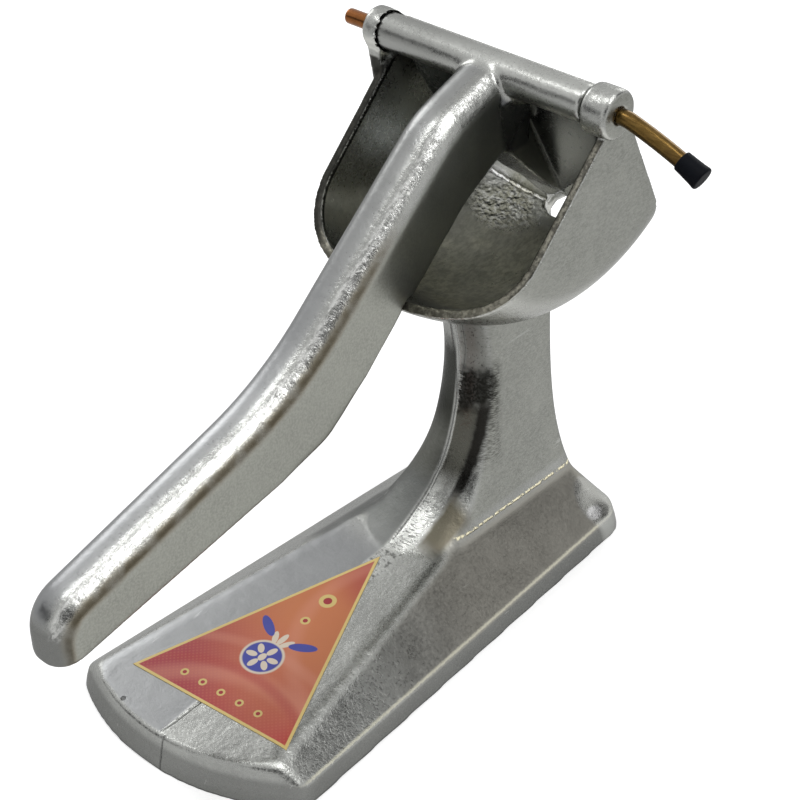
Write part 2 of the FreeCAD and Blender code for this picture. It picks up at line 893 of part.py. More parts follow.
def make_cap():
    """Rubber cap drawn upright with the rod's end at its origin, then laid along the rod."""
    body = new_body("rod_cap")
    grip, length = size("cap_grip"), size("cap_length")
    inner, outer = size("cap_inner_diameter_end") / 2, size("cap_outer_diameter_end") / 2
    hole = size("rod_diameter") / 2 + size("cap_clearance")
    edge = size("cap_edge_round")
    sketch = new_sketch(body, "XZ_Plane", "cap_section")
    draw_outline(sketch, [
        (hole, size("cap_clearance")),
        (hole, -grip),
        (inner, -grip, edge / 3),
        (outer, length - grip, edge),
        (0, length - grip),
        (0, size("cap_clearance")),
    ])
    turned(body, sketch, "Z_Axis", "cap_turn")
    whole_turn = size("rod_bend_angle") + size("rod_tail_angle")
    end_x, end_z = tail_end()
    body.Placement = Placement(Vector(), Rotation(Vector(0, 1, 0), 90 + whole_turn.number))
    bind(body, "Placement.Base.x", end_x)
    bind(body, "Placement.Base.z", end_z + size("pivot_height"))
    bind(body, "Placement.Rotation.Angle", 90 + whole_turn)
    return body


# Stand

def side_at(y):
    """Half width of the base plate at the table, which widens towards the front."""
    return size("base_half_width") - size("base_flare") * y


def base_outline(sketch, inset):
    """The base plate's outline: straight sides, a bowed front and a straight rear."""
    left, right = size("base_front_left") - inset, size("base_front_right") - inset
    rear = size("base_rear") - inset
    radius = size("base_front_radius") - inset
    left_x, right_x = -(side_at(-left) - inset), side_at(-right) - inset
    rear_x = side_at(rear) - inset
    across, along = right_x - left_x, left - right
    chord = root(across * across + along * along)
    bow = root(radius * radius - chord * chord / 4)
    centre_x = (left_x + right_x) / 2 - bow * along / chord
    centre_y = -(left + right) / 2 + bow * across / chord
    corners = [(-rear_x, rear), (left_x, -left), (right_x, -right), (rear_x, rear)]
    spots = [Vector(as_size(x).number, as_size(y).number, 0) for x, y in corners]
    centre = Vector(centre_x.number, centre_y.number, 0)
    arms = [spots[1] - centre, spots[2] - centre]
    angles = [math.atan2(arm.y, arm.x) for arm in arms]
    left_side = sketch.addGeometry(Part.LineSegment(spots[0], spots[1]), False)
    front = sketch.addGeometry(
        Part.ArcOfCircle(
            Part.Circle(centre, Vector(0, 0, 1), radius.number), angles[0], angles[1]
        ), False,
    )
    right_side = sketch.addGeometry(Part.LineSegment(spots[2], spots[3]), False)
    back = sketch.addGeometry(Part.LineSegment(spots[3], spots[0]), False)
    loop = [left_side, front, right_side, back]
    for before, after in zip(loop, loop[1:] + loop[:1]):
        sketch.addConstraint(Sketcher.Constraint("Coincident", before, 2, after, 1))
    for edge, (x, y) in zip(loop, corners):
        pin(sketch, edge, 1, x, y)
    set_radius(sketch, front, radius)


def base_block(name, inset, height, drop):
    """The base plate's outline drawn up to a height with its draft and rounded upright corners."""
    body = new_body(name)
    sketch = new_sketch(body, "XY_Plane", name + "_outline", -as_size(drop))
    base_outline(sketch, as_size(inset))
    pad = pad_of(body, sketch, height, draft=size("rim_draft"))
    doc.recompute()
    middle = -(size("base_front_left").number - size("base_rear").number) / 2
    edges = {"front": [], "rear": []}
    for index, edge in enumerate(pad.Shape.Edges, start=1):
        if edge.BoundBox.ZLength > 1:
            edges["front" if edge.CenterOfMass.y < middle else "rear"].append(f"Edge{index}")
    base = pad
    for place in ("front", "rear"):
        fillet = body.newObject("PartDesign::Fillet", f"{name}_{place}_corners")
        fillet.Base = (base, edges[place])
        bind(fillet, "Radius", size(f"base_{place}_corner") - inset)
        if place == "front":
            doc.recompute()
            edges["rear"] = [
                f"Edge{index}"
                for index, edge in enumerate(fillet.Shape.Edges, start=1)
                if edge.BoundBox.ZLength > 1 and edge.CenterOfMass.y > middle
            ]
        base = fillet
    return body


def rise_section(body, name, y, side, top_width, top_z, inset):
    """One section across the base plate at y. Its slopes pass through the top of the rim."""
    rim = size("rim_height") - inset
    overhang = size("slope_overhang")
    steepness = (top_z - rim) / (side - top_width)
    low_z = rim - overhang * steepness
    wide = side + overhang
    sketch = new_sketch(body, "XZ_Plane", name, -y)
    draw_outline(sketch, [
        (-wide, -overhang), (wide, -overhang), (wide, low_z),
        (top_width, top_z), (-top_width, top_z), (-wide, low_z),
    ])


def rise(name, inset):
    """The plateau that climbs to the column's foot, the slopes beside it and the fall behind."""
    inset = as_size(inset)
    body = new_body(name)
    rim = size("rim_height")
    draft = rim * sine(size("rim_draft")) / cosine(size("rim_draft"))
    stations = [
        (-size("plateau_start"), size("plateau_start_width"), size("plateau_start_height")),
        (-size("foot_front"), size("foot_half_width"), size("foot_height")),
        (size("foot_rear"), size("foot_half_width"), size("foot_height")),
        (size("base_rear") - draft, size("heel_half_width"), rim + 0.5),
        (size("base_rear") + 2, size("heel_half_width"), rim - 0.5),
    ]
    sketches = []
    for index, (y, top_width, top_z) in enumerate(stations):
        sketch_name = f"{name}_station_{index}"
        rise_section(body, sketch_name, y, side_at(y) - draft - inset,
                     top_width - inset / 2, top_z - inset, inset)
        sketches.append(doc.getObject(sketch_name))
    lofted(body, sketches, name + "_loft", ruled=True)
    return body


def column_section(body, name, height, inset):
    """A section of the column: straight sides, a rounded-off back and a blunt nose."""
    side = size("column_half_width") + size("column_foot_spread") * exponent(
        (size("foot_height") - height) / size("column_side_decay")
    ) - inset
    nose = -size("column_front") - size("column_toe") * exponent(
        (size("column_toe_height") - height) / size("column_front_decay")
    ) + inset
    waist = size("pivot_height") - size("column_crown_drop") - size("column_crown_length")
    if height.number > waist.number:
        climb = (height - waist) / size("column_crown_length")
        nose = nose - size("column_crown") * climb * climb
    back = size("column_back") + size("column_back_spread") * exponent(
        (size("foot_height") - height) / size("column_back_decay")
    ) - inset
    corner = size("column_back_corner") - inset / 3
    nose_length = side * NOSE_LENGTH
    tip = side * NOSE_TIP_RADIUS
    flank = (side * side + nose_length * nose_length - 2 * nose_length * tip) / (2 * (side - tip))
    shoulder = nose + nose_length
    flank_x, tip_y = side - flank, nose + tip
    meet_x = flank_x * tip / (tip - flank)
    meet_y = tip_y - (tip_y - shoulder) * tip / (tip - flank)
    sketch = new_sketch(body, "XY_Plane", name, height)

    def nose_arc(centre, radius, start, end):
        middle = Vector(centre[0].number, centre[1].number, 0)
        arms = [Vector(x.number, y.number, 0) - middle for x, y in (start, end)]
        circle = Part.Circle(middle, Vector(0, 0, 1), radius.number)
        angles = [math.atan2(arm.y, arm.x) for arm in arms]
        return sketch.addGeometry(Part.ArcOfCircle(circle, angles[0], angles[1]), False)

    left_flank = nose_arc((-flank_x, shoulder), flank, (-side, shoulder), (-meet_x, meet_y))
    front = nose_arc((as_size(0), tip_y), tip, (-meet_x, meet_y), (meet_x, meet_y))
    right_flank = nose_arc((flank_x, shoulder), flank, (meet_x, meet_y), (side, shoulder))
    spots = {
        "right_low": (side, shoulder), "right_high": (side, back - corner),
        "back_right": (side - corner, back), "back_left": (corner - side, back),
        "left_high": (-side, back - corner), "left_low": (-side, shoulder),
    }
    where = {key: Vector(x.number, y.number, 0) for key, (x, y) in spots.items()}

    def line(start, end):
        return sketch.addGeometry(Part.LineSegment(where[start], where[end]), False)

    def corner_arc(hand):
        centre = Vector(hand * (side - corner).number, (back - corner).number, 0)
        start, end = ((0, 90) if hand == 1 else (90, 180))
        circle = Part.Circle(centre, Vector(0, 0, 1), corner.number)
        return sketch.addGeometry(
            Part.ArcOfCircle(circle, math.radians(start), math.radians(end)), False
        )

    right = line("right_low", "right_high")
    right_corner = corner_arc(1)
    rear = line("back_right", "back_left")
    left_corner = corner_arc(-1)
    left = line("left_high", "left_low")
    loop = [front, right_flank, right, right_corner, rear, left_corner, left, left_flank]
    for before, after in zip(loop, loop[1:] + loop[:1]):
        sketch.addConstraint(Sketcher.Constraint("Tangent", before, 2, after, 1))
    for edge in (left, right):
        sketch.addConstraint(Sketcher.Constraint("Vertical", edge))
    sketch.addConstraint(Sketcher.Constraint("Horizontal", rear))
    pin(sketch, right, 1, side, shoulder)
    pin(sketch, left, 2, -side, shoulder)
    set_radius(sketch, left_flank, flank)
    set_radius(sketch, right_flank, flank)
    set_radius(sketch, right_corner, corner)
    set_radius(sketch, left_corner, corner)
    for edge, vertex, y in ((rear, 1, back), (front, 3, tip_y)):
        index = sketch.addConstraint(
            Sketcher.Constraint("DistanceY", -1, 1, edge, vertex, y.number)
        )
        bind(sketch, f"Constraints[{index}]", y)
    return sketch


def column(name, inset, bottom, top):
    body = new_body(name)
    sketches = []
    for station in range(COLUMN_STATIONS):
        share = (station / (COLUMN_STATIONS - 1)) ** STATION_CROWDING
        height = bottom + (top - bottom) * share
        sketches.append(column_section(body, f"{name}_station_{station}", height, as_size(inset)))
    lofted(body, sketches, name + "_loft", ruled=False)
    return body


def make_stand():
    wall = size("base_wall")
    plan = base_block("base_plan", 0, size("foot_height") * 1.2, 0)
    base = shared("base_outside", rise("base_rise", 0), plan)
    post = column("column_outer", 0, size("column_start"), column_top())
    outside = joined("stand_outside", base, post)

    inner_plan = base_block("inner_plan", wall, size("foot_height") * 1.2, 1)
    inner_base = shared("base_inside", rise("inner_rise", wall), inner_plan)
    core = column("column_core", size("column_wall"), size("column_start") - wall * 2,
                  core_top())
    hollow = joined("stand_hollow", inner_base, core)
    rib = doc.addObject("Part::Box", "cross_rib")
    reach = side_at(as_size(0)) - wall / 2
    bind(rib, "Length", reach * 2)
    bind(rib, "Width", size("cross_rib_width"))
    bind(rib, "Height", size("cross_rib_height") + 1)
    bind(rib, "Placement.Base.x", -reach)
    bind(rib, "Placement.Base.y", -(size("cross_rib_width") / 2))
    hollow_beside_rib = cut_away("hollow_beside_rib", hollow, rib)

    seat = drum("bowl_seat", size("seat_gap"))
    lift_to(seat, size("pivot_height"))
    holes = []
    for place in ("front", "rear"):
        y = size(f"bolt_{place}_y")
        holes.append(cylinder(
            f"bolt_hole_{place}", size("bolt_hole_diameter"), column_top(),
            (0, y, core_top() - 1),
        ))
        holes.append(cylinder(
            f"pad_pocket_{place}", size("boss_pad_diameter") + 2 * size("boss_pad_gap"),
            column_top(),
            (0, y, pad_bottom() - size("boss_pad_gap")),
        ))
    stand = cut_away(
        "stand", outside, joined("stand_cuts", hollow_beside_rib, seat, *holes)
    )
    return stand


# Screws and washers between column and bowl

def make_bolts():
    bolts = []
    for place in ("front", "rear"):
        y = size(f"bolt_{place}_y")
        body = new_body(f"bolt_{place}")
        head = new_sketch(body, "XY_Plane", f"bolt_head_{place}", -size("bolt_head_height"))
        across = size("bolt_head_across") / 2
        corner = across / cosine(as_size(30))
        half = corner / 2
        draw_outline(head, [
            (corner, 0), (half, across), (-half, across),
            (-corner, 0), (-half, -across), (half, -across),
        ])
        pad_of(body, head, size("bolt_head_height"))
        shank = new_sketch(body, "XY_Plane", f"bolt_shank_{place}")
        draw_circle(shank, 0, 0, size("bolt_diameter"))
        pad_of(body, shank, size("bolt_length"))
        bind(body, "Placement.Base.y", y)
        bind(body, "Placement.Base.z", head_top())
        body.Label = f"bowl_bolt_{place}"
        bolts.append(body)
    return bolts


def ring(name, outer, inner, thickness, y, z):
    body = new_body(name)
    sketch = new_sketch(body, "XY_Plane", name + "_ring")
    draw_circle(sketch, 0, 0, outer)
    draw_circle(sketch, 0, 0, inner)
    pad_of(body, sketch, thickness)
    bind(body, "Placement.Base.y", y)
    bind(body, "Placement.Base.z", z)
    return body


def make_flat_washers():
    return [
        ring(f"bolt_washer_{place}", size("washer_diameter"), size("bolt_hole_diameter"),
             size("washer_thickness"), size(f"bolt_{place}_y"),
             core_top() - size("washer_thickness"))
        for place in ("front", "rear")
    ]


def make_lock_washers():
    washers = []
    for place in ("front", "rear"):
        y = size(f"bolt_{place}_y")
        band = ring(f"lock_band_{place}", size("lock_washer_diameter"),
                    size("bolt_diameter") + 0.4, size("lock_washer_thickness"), y, head_top())
        split = doc.addObject("Part::Box", f"lock_split_{place}")
        bind(split, "Length", size("lock_washer_split"))
        bind(split, "Width", size("lock_washer_diameter"))
        bind(split, "Height", size("lock_washer_thickness") * 2)
        bind(split, "Placement.Base.x", -size("lock_washer_split") / 2)
        bind(split, "Placement.Base.y", y)
        bind(split, "Placement.Base.z", head_top() - size("lock_washer_thickness") / 2)
        washers.append(cut_away(f"lock_washer_{place}", band, split))
    return washers


# Label

def make_label():
    """A thin three-cornered sheet that lies on the plateau of the base plate."""
    body = new_body("label")
    run = size("plateau_start") - size("foot_front")
    climb = size("foot_height") - size("plateau_start_height")
    slope = math.degrees(math.atan2(climb.number, run.number))
    stretch = root(run * run + climb * climb) / run
    sketch = new_sketch(body, "XY_Plane", "label_outline")

    def along(name):
        return (size(name) + size("plateau_start")) * stretch

    corner = size("label_corner")
    draw_outline(sketch, [
        (size("label_apex_x"), along("label_apex_y"), corner),
        (size("label_left_x"), along("label_left_y"), corner),
        (size("label_right_x"), along("label_right_y"), corner),
    ])
    pad_of(body, sketch, size("label_thickness"))
    body.Placement = Placement(Vector(), Rotation(Vector(1, 0, 0), slope))
    slope_words = Size(slope, f"atan({(climb / run).words})")
    bind(body, "Placement.Base.y", -size("plateau_start"))
    bind(body, "Placement.Base.z", size("plateau_start_height"))
    bind(body, "Placement.Rotation.Angle", slope_words)
    return body


PARTS = [
    make_stand(), make_bowl(), make_lever(), make_rod(), make_cap(), make_label(),
    *make_bolts(), *make_flat_washers(), *make_lock_washers(),
]

doc.recompute()
for item in doc.Objects:
    if "Invalid" in item.State or "Error" in item.State:
        raise RuntimeError(f"{item.Name} failed: {item.State}")
for part in PARTS:
    if part.Shape.isNull() or not part.Shape.isValid():
        raise RuntimeError(f"{part.Label} has no sound shape")

os.makedirs("parts", exist_ok=True)
for part in PARTS:
    shape = part.Shape
    shape.exportStep(f"parts/{part.Label}.step")
    box = shape.BoundBox
    print(part.Label, len(shape.Solids), "solid", round(shape.Volume / 1000, 1), "cm3",
          "x", round(box.XMin, 1), round(box.XMax, 1), "y", round(box.YMin, 1),
          round(box.YMax, 1), "z", round(box.ZMin, 1), round(box.ZMax, 1))
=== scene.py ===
import math

import bmesh
import bpy
from mathutils import Matrix, Vector


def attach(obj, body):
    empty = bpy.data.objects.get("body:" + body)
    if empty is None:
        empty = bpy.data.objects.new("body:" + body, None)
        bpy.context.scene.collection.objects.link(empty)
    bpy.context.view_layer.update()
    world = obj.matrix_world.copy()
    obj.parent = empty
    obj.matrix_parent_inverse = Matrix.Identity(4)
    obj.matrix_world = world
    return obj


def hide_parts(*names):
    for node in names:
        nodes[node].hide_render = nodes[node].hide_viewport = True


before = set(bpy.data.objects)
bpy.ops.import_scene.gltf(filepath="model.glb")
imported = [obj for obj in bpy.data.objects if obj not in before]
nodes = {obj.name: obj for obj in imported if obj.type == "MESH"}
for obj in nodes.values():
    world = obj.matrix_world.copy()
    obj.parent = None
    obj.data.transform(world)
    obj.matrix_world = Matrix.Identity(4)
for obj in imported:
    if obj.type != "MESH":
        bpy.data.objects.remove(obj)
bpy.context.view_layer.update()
MM = 0.001
PIVOT_HEIGHT = 285  # mm above the table
PIVOT = Vector((0, 0, 0.285))
BORE_RADIUS = 4.15  # of the skins round the rod, in mm
BORE_REACH = 5.2  # skin nearer to the pivot's axis than this belongs to a bore


# Shader maths

class Sock:
    """A shader socket on which Python's operators add Math nodes."""

    def __init__(self, tree, out):
        self.tree = tree
        self.out = out

    def math(self, operation, *others):
        node = self.tree.nodes.new("ShaderNodeMath")
        node.operation = operation
        for slot, value in zip(node.inputs, (self, *others)):
            plug(self.tree, slot, value)
        return Sock(self.tree, node.outputs[0])

    def __add__(self, other):
        return self.math("ADD", other)

    def __sub__(self, other):
        return self.math("SUBTRACT", other)

    def __mul__(self, other):
        return self.math("MULTIPLY", other)

    def __truediv__(self, other):
        return self.math("DIVIDE", other)

    def __radd__(self, other):
        return self + other

    def __rmul__(self, other):
        return self * other

    def __rsub__(self, other):
        return self * -1.0 + other

    def low(self, other):
        return self.math("MINIMUM", other)

    def high(self, other):
        return self.math("MAXIMUM", other)

    def size(self):
        return self.math("ABSOLUTE")

    def step(self, start, end):
        """0 up to start and 1 from end on, smooth between; falls where end is below start."""
        node = self.tree.nodes.new("ShaderNodeMapRange")
        node.interpolation_type = "SMOOTHSTEP"
        plug(self.tree, node.inputs["Value"], self)
        falls = end < start
        plug(self.tree, node.inputs["From Min"], end if falls else start)
        plug(self.tree, node.inputs["From Max"], start if falls else end)
        plug(self.tree, node.inputs["To Min"], 1.0 if falls else 0.0)
        plug(self.tree, node.inputs["To Max"], 0.0 if falls else 1.0)
        return Sock(self.tree, node.outputs["Result"])


def plug(tree, socket, value):
    """Links a socket to value, or sets it where value is a plain number or colour."""
    if isinstance(value, Sock):
        tree.links.new(value.out, socket)
    elif isinstance(value, (tuple, list)) and len(value) == 3 and socket.type == "RGBA":
        socket.default_value = (*value, 1.0)
    else:
        socket.default_value = value


class Look:
    """A material with one Principled shader, and short ways to add nodes to it."""

    def __init__(self, name, **constants):
        self.material = bpy.data.materials.new(name)
        self.material.use_nodes = True
        self.tree = self.material.node_tree
        self.shader = self.tree.nodes["Principled BSDF"]
        for key, value in constants.items():
            plug(self.tree, self.shader.inputs[key.replace("_", " ")], value)
        self.place = Sock(self.tree, self.node("ShaderNodeTexCoord").outputs["Object"])

    def node(self, kind, settings=(), **values):
        node = self.tree.nodes.new(kind)
        for key, value in dict(settings).items():
            setattr(node, key, value)
        for key, value in values.items():
            plug(self.tree, node.inputs[key.replace("_", " ")], value)
        return node

    def noise(self, size_mm, detail=2.0, roughness=0.5, place=None):
        node = self.node(
            "ShaderNodeTexNoise", Vector=place or self.place, Scale=1.0 / (size_mm * MM),
            Detail=detail, Roughness=roughness,
        )
        return Sock(self.tree, node.outputs["Fac"])

    def cells(self, size_mm, place=None, randomness=1.0):
        """The distance to the nearest of many points."""
        node = self.node(
            "ShaderNodeTexVoronoi", Vector=place or self.place,
            Scale=1.0 / (size_mm * MM), Randomness=randomness,
        )
        return Sock(self.tree, node.outputs["Distance"])

    def axes(self, place=None):
        node = self.node("ShaderNodeSeparateXYZ", Vector=place or self.place)
        return [Sock(self.tree, out) for out in node.outputs]

    def vector(self, x, y, z):
        node = self.node("ShaderNodeCombineXYZ", X=x, Y=y, Z=z)
        return Sock(self.tree, node.outputs[0])

    def stretched(self, x, y, z, turn=(0, 0, 0)):
        """The place with each axis scaled: a small scale draws a texture out along it."""
        node = self.node("ShaderNodeMapping", Vector=self.place)
        node.inputs["Scale"].default_value = (x, y, z)
        node.inputs["Rotation"].default_value = [math.radians(angle) for angle in turn]
        return Sock(self.tree, node.outputs[0])

    def mix(self, share, first, second):
        node = self.node("ShaderNodeMix", {"data_type": "RGBA"})
        plug(self.tree, node.inputs["Factor"], share)
        plug(self.tree, node.inputs[6], first)
        plug(self.tree, node.inputs[7], second)
        return Sock(self.tree, node.outputs[2])

    def normal(self):
        """The facing of the surface, as three numbers."""
        node = self.node("ShaderNodeNewGeometry")
        return self.axes(Sock(self.tree, node.outputs["Normal"]))

    def bump(self, height, depth_mm):
        node = self.node("ShaderNodeBump", Height=height, Distance=depth_mm * MM, Strength=1.0)
        return Sock(self.tree, node.outputs["Normal"])

    def set(self, **links):
        """Sets or links inputs of the shader, and gives the material."""
        for key, value in links.items():
            plug(self.tree, self.shader.inputs[key.replace("_", " ")], value)
        return self.material


# Materials

ALUMINIUM = (0.335, 0.34, 0.325)
WHITE = (1.0, 1.0, 1.0)
SKIN_DEPTH = 0.62  # mm of bump at full relief
RIM_NORMAL = (-0.7206, 0.6934)  # y and z of the way out of the bowl's front opening
RIM_SETBACK = 9.0  # mm from the pivot to the plane of that opening


def bare(share):
    """The tone of the bare metal, made darker or lighter."""
    return tuple(min(1.0, channel * share) for channel in ALUMINIUM)


def cast_metal(name, rough, relief, pitted, extra):
    """Tumbled cast aluminium: a wavy skin, small pits where it is worn and a fine grain.

    rough is its roughness, relief and pitted are the shares of bump and pits, and extra adds
    what only one casting has.
    """
    look = Look(name, Metallic=1.0, Specular_Tint=(0.6, 0.6, 0.6))
    broad = look.noise(26, detail=3.0, roughness=0.6)
    waves = look.noise(9, detail=2.0, roughness=0.5)
    skin = look.noise(1.5, detail=3.0, roughness=0.6)
    grain = look.noise(0.55, detail=2.0, roughness=0.7)
    worn = look.noise(11, detail=3.0).step(0.42, 0.66)
    pits = look.cells(1.7).step(0.28, 0.12) * worn * pitted
    tint = look.mix(broad.step(0.3, 0.72), bare(0.9), bare(1.08))
    tint = look.mix(skin.step(0.5, 0.72) * 0.4, tint, bare(1.3))
    tint = look.mix(skin.step(0.46, 0.3) * 0.3, tint, bare(0.62))
    tint = look.mix(pits * 0.4, tint, bare(0.45))
    height = waves * 0.7 + skin * 0.2 + grain * 0.09 - pits * 0.06
    roughness = rough + (broad - 0.5) * 0.14 + (skin - 0.5) * 0.22 + pits * 0.08
    depth = Sock(look.tree, look.node("ShaderNodeValue").outputs[0])
    depth.out.default_value = relief
    parts = {"tint": tint, "height": height, "roughness": roughness, "relief": depth,
             "skin": skin}
    parts.update(extra(look, parts))
    normal = look.bump(parts["height"] * parts["relief"], SKIN_DEPTH)
    return look.set(Base_Color=parts["tint"], Roughness=parts["roughness"], Normal=normal)


def near_line(x, y, start, end, wide_mm):
    """1 on the line from start to end, in mm in the plane of x and y, and 0 from wide_mm off."""
    ax, ay = start
    bx, by = end
    long = math.hypot(bx - ax, by - ay)
    ux, uy = (bx - ax) / long, (by - ay) / long
    along = (x - ax) * ux + (y - ay) * uy
    off = ((x - ax) * uy - (y - ay) * ux).size()
    ends = along.step(-wide_mm, 0) * along.step(long + wide_mm, long)
    return off.step(wide_mm, 0) * ends


def in_mm(look):
    """The place in mm, as three numbers."""
    return [axis * 1000.0 for axis in look.axes()]


def far_off(*offsets):
    """The sum of the squares of the offsets."""
    squares = [offset * offset for offset in offsets]
    return sum(squares[1:], squares[0])


def satin(look):
    """The tone of the flat, brushed sides of the bowl and of the column's foot."""
    fine = look.noise(1.5, detail=3.0, roughness=0.65, place=look.stretched(1, 0.6, 1.3))
    cloud = look.noise(14, detail=3.0)
    tone = look.mix(fine.step(0.32, 0.68), (0.215, 0.22, 0.198), (0.305, 0.31, 0.282))
    return look.mix(cloud.step(0.35, 0.7) * 0.35, tone, (0.335, 0.34, 0.308))


def stand_extra(look, parts):
    """Seams of the mould, painted dark reflections, shade and highlights on the column, and
    marks, painted highlights and shade on the base plate.
    """
    x, y, z = in_mm(look)
    nx, _, nz = look.normal()
    # Each area is a mask from 0 to 1, bounded in mm on the part or by the way the skin faces.
    # Seams, a pit and scratches
    wobble = (look.noise(14) - 0.5) * 3.0
    torn = (look.noise(4, detail=3.0) - 0.5) * 7.0
    seam = near_line(x + wobble, y, (-1, -236), (0.5, -205), 1.3) * z.step(19, 20.5)
    lip = near_line(x + wobble, z, (2.2, 0), (2.4, 19), 0.9) * y.step(-232, -236)
    front = z.step(36, 42) * y.step(-5, -10)
    split = (x + wobble * 0.3 + z.step(100, 140) * 3.4).size().step(0.9, 0.1) * front
    second = (x + wobble * 0.3 - z.step(100, 140) * 4.6).size().step(0.8, 0.1) * front
    second = second * z.step(96, 118)
    ridge = (x - 0.9 + wobble * 0.3).size().step(1.1, 0.2) * front
    pit = far_off(x + 31.6, y + 233.6).step(2.4, 0.6) * z.step(15, 18)
    scratch = look.noise(1.0, place=look.stretched(0.4, 0.015, 0.2, (0, 0, 24)))
    scratch = scratch.step(0.69, 0.71) * look.noise(40).step(0.5, 0.6)
    # Painted dark reflections up the front of the column, from its edge at x = 0 to the right
    hairs = look.noise(1.0, detail=2.0, place=look.stretched(0.35, 0.35, 2.2))
    rough_x = x + torn * 0.6 + (hairs - 0.5) * 7.0
    painted_dark_block = rough_x.step(0.6, 2.2) * rough_x.step(19.5, 15.5) * front
    painted_dark_block = painted_dark_block * (z + torn * 1.4 - x * 0.5).step(91, 99) * (z + torn * 1.8).step(130, 119)
    painted_dark_block = painted_dark_block * (0.88 + parts["skin"].step(0.36, 0.6) * 0.12)
    painted_dark_fringe = (x + (hairs - 0.5) * 26.0).step(24, 14) * x.step(10, 14) * front
    painted_dark_fringe = painted_dark_fringe * z.step(60, 74) * z.step(134, 116)
    painted_dark_strip = (x + torn * 0.25 - 14.8).size().step(3.4, 1.4) * front
    painted_dark_strip = painted_dark_strip * z.step(48, 60) * z.step(108, 100)
    painted_dark_middle = x.step(0.4, 2.0) * x.step(15.5, 11.5) * front * z.step(56, 68) * z.step(108, 98)
    above = x.step(1, 4) * rough_x.step(19, 13) * front * (z + torn).step(118, 126)
    # Painted shade to the left of that edge; down at the foot, a brown patch and a painted
    # highlight
    left = x.step(-0.6, -2.4) * y.step(2, -10)
    painted_left_shade = left * (z + torn).step(74, 98) * (z + torn).step(148, 128)
    painted_low_left_shade = left * z.step(24, 34) * z.step(112, 88) * y.step(-74, -58)
    brown = (x + torn * 0.3).step(12.5, 15.5) * x.step(29, 24) * y.step(-34, -43)
    brown = brown * z.step(27, 33) * z.step(66, 50) * y.step(-72, -60)
    painted_foot_left_shade = x.step(0.2, -1.6) * z.step(24, 30) * z.step(66, 54) * y.step(-100, -84)
    painted_foot_left_shade = painted_foot_left_shade * nz.step(0.998, 0.93) * y.step(-26, -42)
    painted_foot_highlight = (x - 4.8).size().step(7.4, 4.4) * z.step(61, 50) * z.step(24, 30) * y.step(-22, -32)
    # The painted highlight line where the column's right face meets the slope, and the base plate
    hard = (x - y * 0.004).step(19, 21) * y.step(-52, -49) * nx.step(0.3, 0.5)
    crease_bead_and_highlight = (z - 39.3 + y * 0.018 + (parts["skin"] - 0.5) * 0.9).size().step(1.0, 0.35) * hard
    crease_bead_and_highlight = crease_bead_and_highlight * look.noise(2.2, detail=2.0).step(0.36, 0.52)
    foot_right = nx.step(0.75, 0.9) * z.step(42, 46)
    sand = look.noise(1.0, detail=1.0)
    # Painted shade: the left half of the flat top is darker and bluish
    plate_left_painted_shade = x.step(-0.5, -2.5) * nz.step(0.9, 0.98) * y.step(-60, -90)
    slope = nx.step(0.35, 0.6) * nz.step(0.3, 0.5) * z.step(42, 34)
    rear = y.step(-170, -60)
    # The upright sides of the base; their darker tone below is painted shade
    rim = nz.step(0.5, 0.35) * z.step(16, 12)
    rim_side = rim * y.step(-205, -190)
    # Painted highlight along the top edge of the upright sides
    rim_edge_highlight = (z - 11.9 + (parts["skin"] - 0.5) * 1.4).size().step(0.95, 0.2)
    rim_edge_highlight = rim_edge_highlight * x.size().step(40, 44) * y.step(-214, -200)
    # Painted shade along the bottom edge, where the base meets the table
    painted_foot_line_shade = z.step(1.3, 0.5)
    # Painted highlight in the dent near the rear right corner, with a white painted flash in it
    dish = far_off(x - 48, y - 46.5).step(200, 120)
    painted_flash = (x - 51.5) * (x - 51.5) * 2.0 + (y - 41) * (y - 41) * 0.5
    # Tones, laid over each other from the largest area to the smallest
    tint = look.mix(plate_left_painted_shade * 0.8, parts["tint"], (0.21, 0.215, 0.221))
    tint = look.mix(slope * rear * 0.8, tint, (0.30, 0.287, 0.25))
    tint = look.mix(slope * (1.0 - rear) * 0.2, tint, bare(0.9))
    tint = look.mix(foot_right * 0.75, tint, satin(look))
    tint = look.mix(rim * 0.7, tint, bare(0.5))
    tint = look.mix(rim_edge_highlight * 0.6, tint, (0.72, 0.7, 0.56))
    tint = look.mix(painted_foot_line_shade * 0.6, tint, bare(0.3))
    # Painted dark reflection high on the column's front, darker in patches
    tint = look.mix(above * 0.5, tint, (0.17, 0.172, 0.155))
    tint = look.mix(above * parts["skin"].step(0.44, 0.3) * 0.7, tint, bare(0.1))
    tint = look.mix(painted_dark_middle * 0.92, tint, (0.075, 0.074, 0.06))
    tint = look.mix(painted_low_left_shade * (0.75 + hairs * 0.3), tint, (0.09, 0.092, 0.08))
    tint = look.mix(painted_foot_left_shade * 0.85, tint, (0.12, 0.124, 0.12))
    tint = look.mix(painted_left_shade * 0.93, tint, (0.025, 0.026, 0.022))
    tint = look.mix(painted_dark_fringe * 0.75, tint, (0.05, 0.05, 0.042))
    tint = look.mix(painted_dark_block * 0.99, tint, (0.014, 0.014, 0.012))
    tint = look.mix(painted_dark_strip * 0.96, tint, (0.016, 0.015, 0.013))
    tint = look.mix(brown * 0.88, tint, (0.1, 0.088, 0.058))
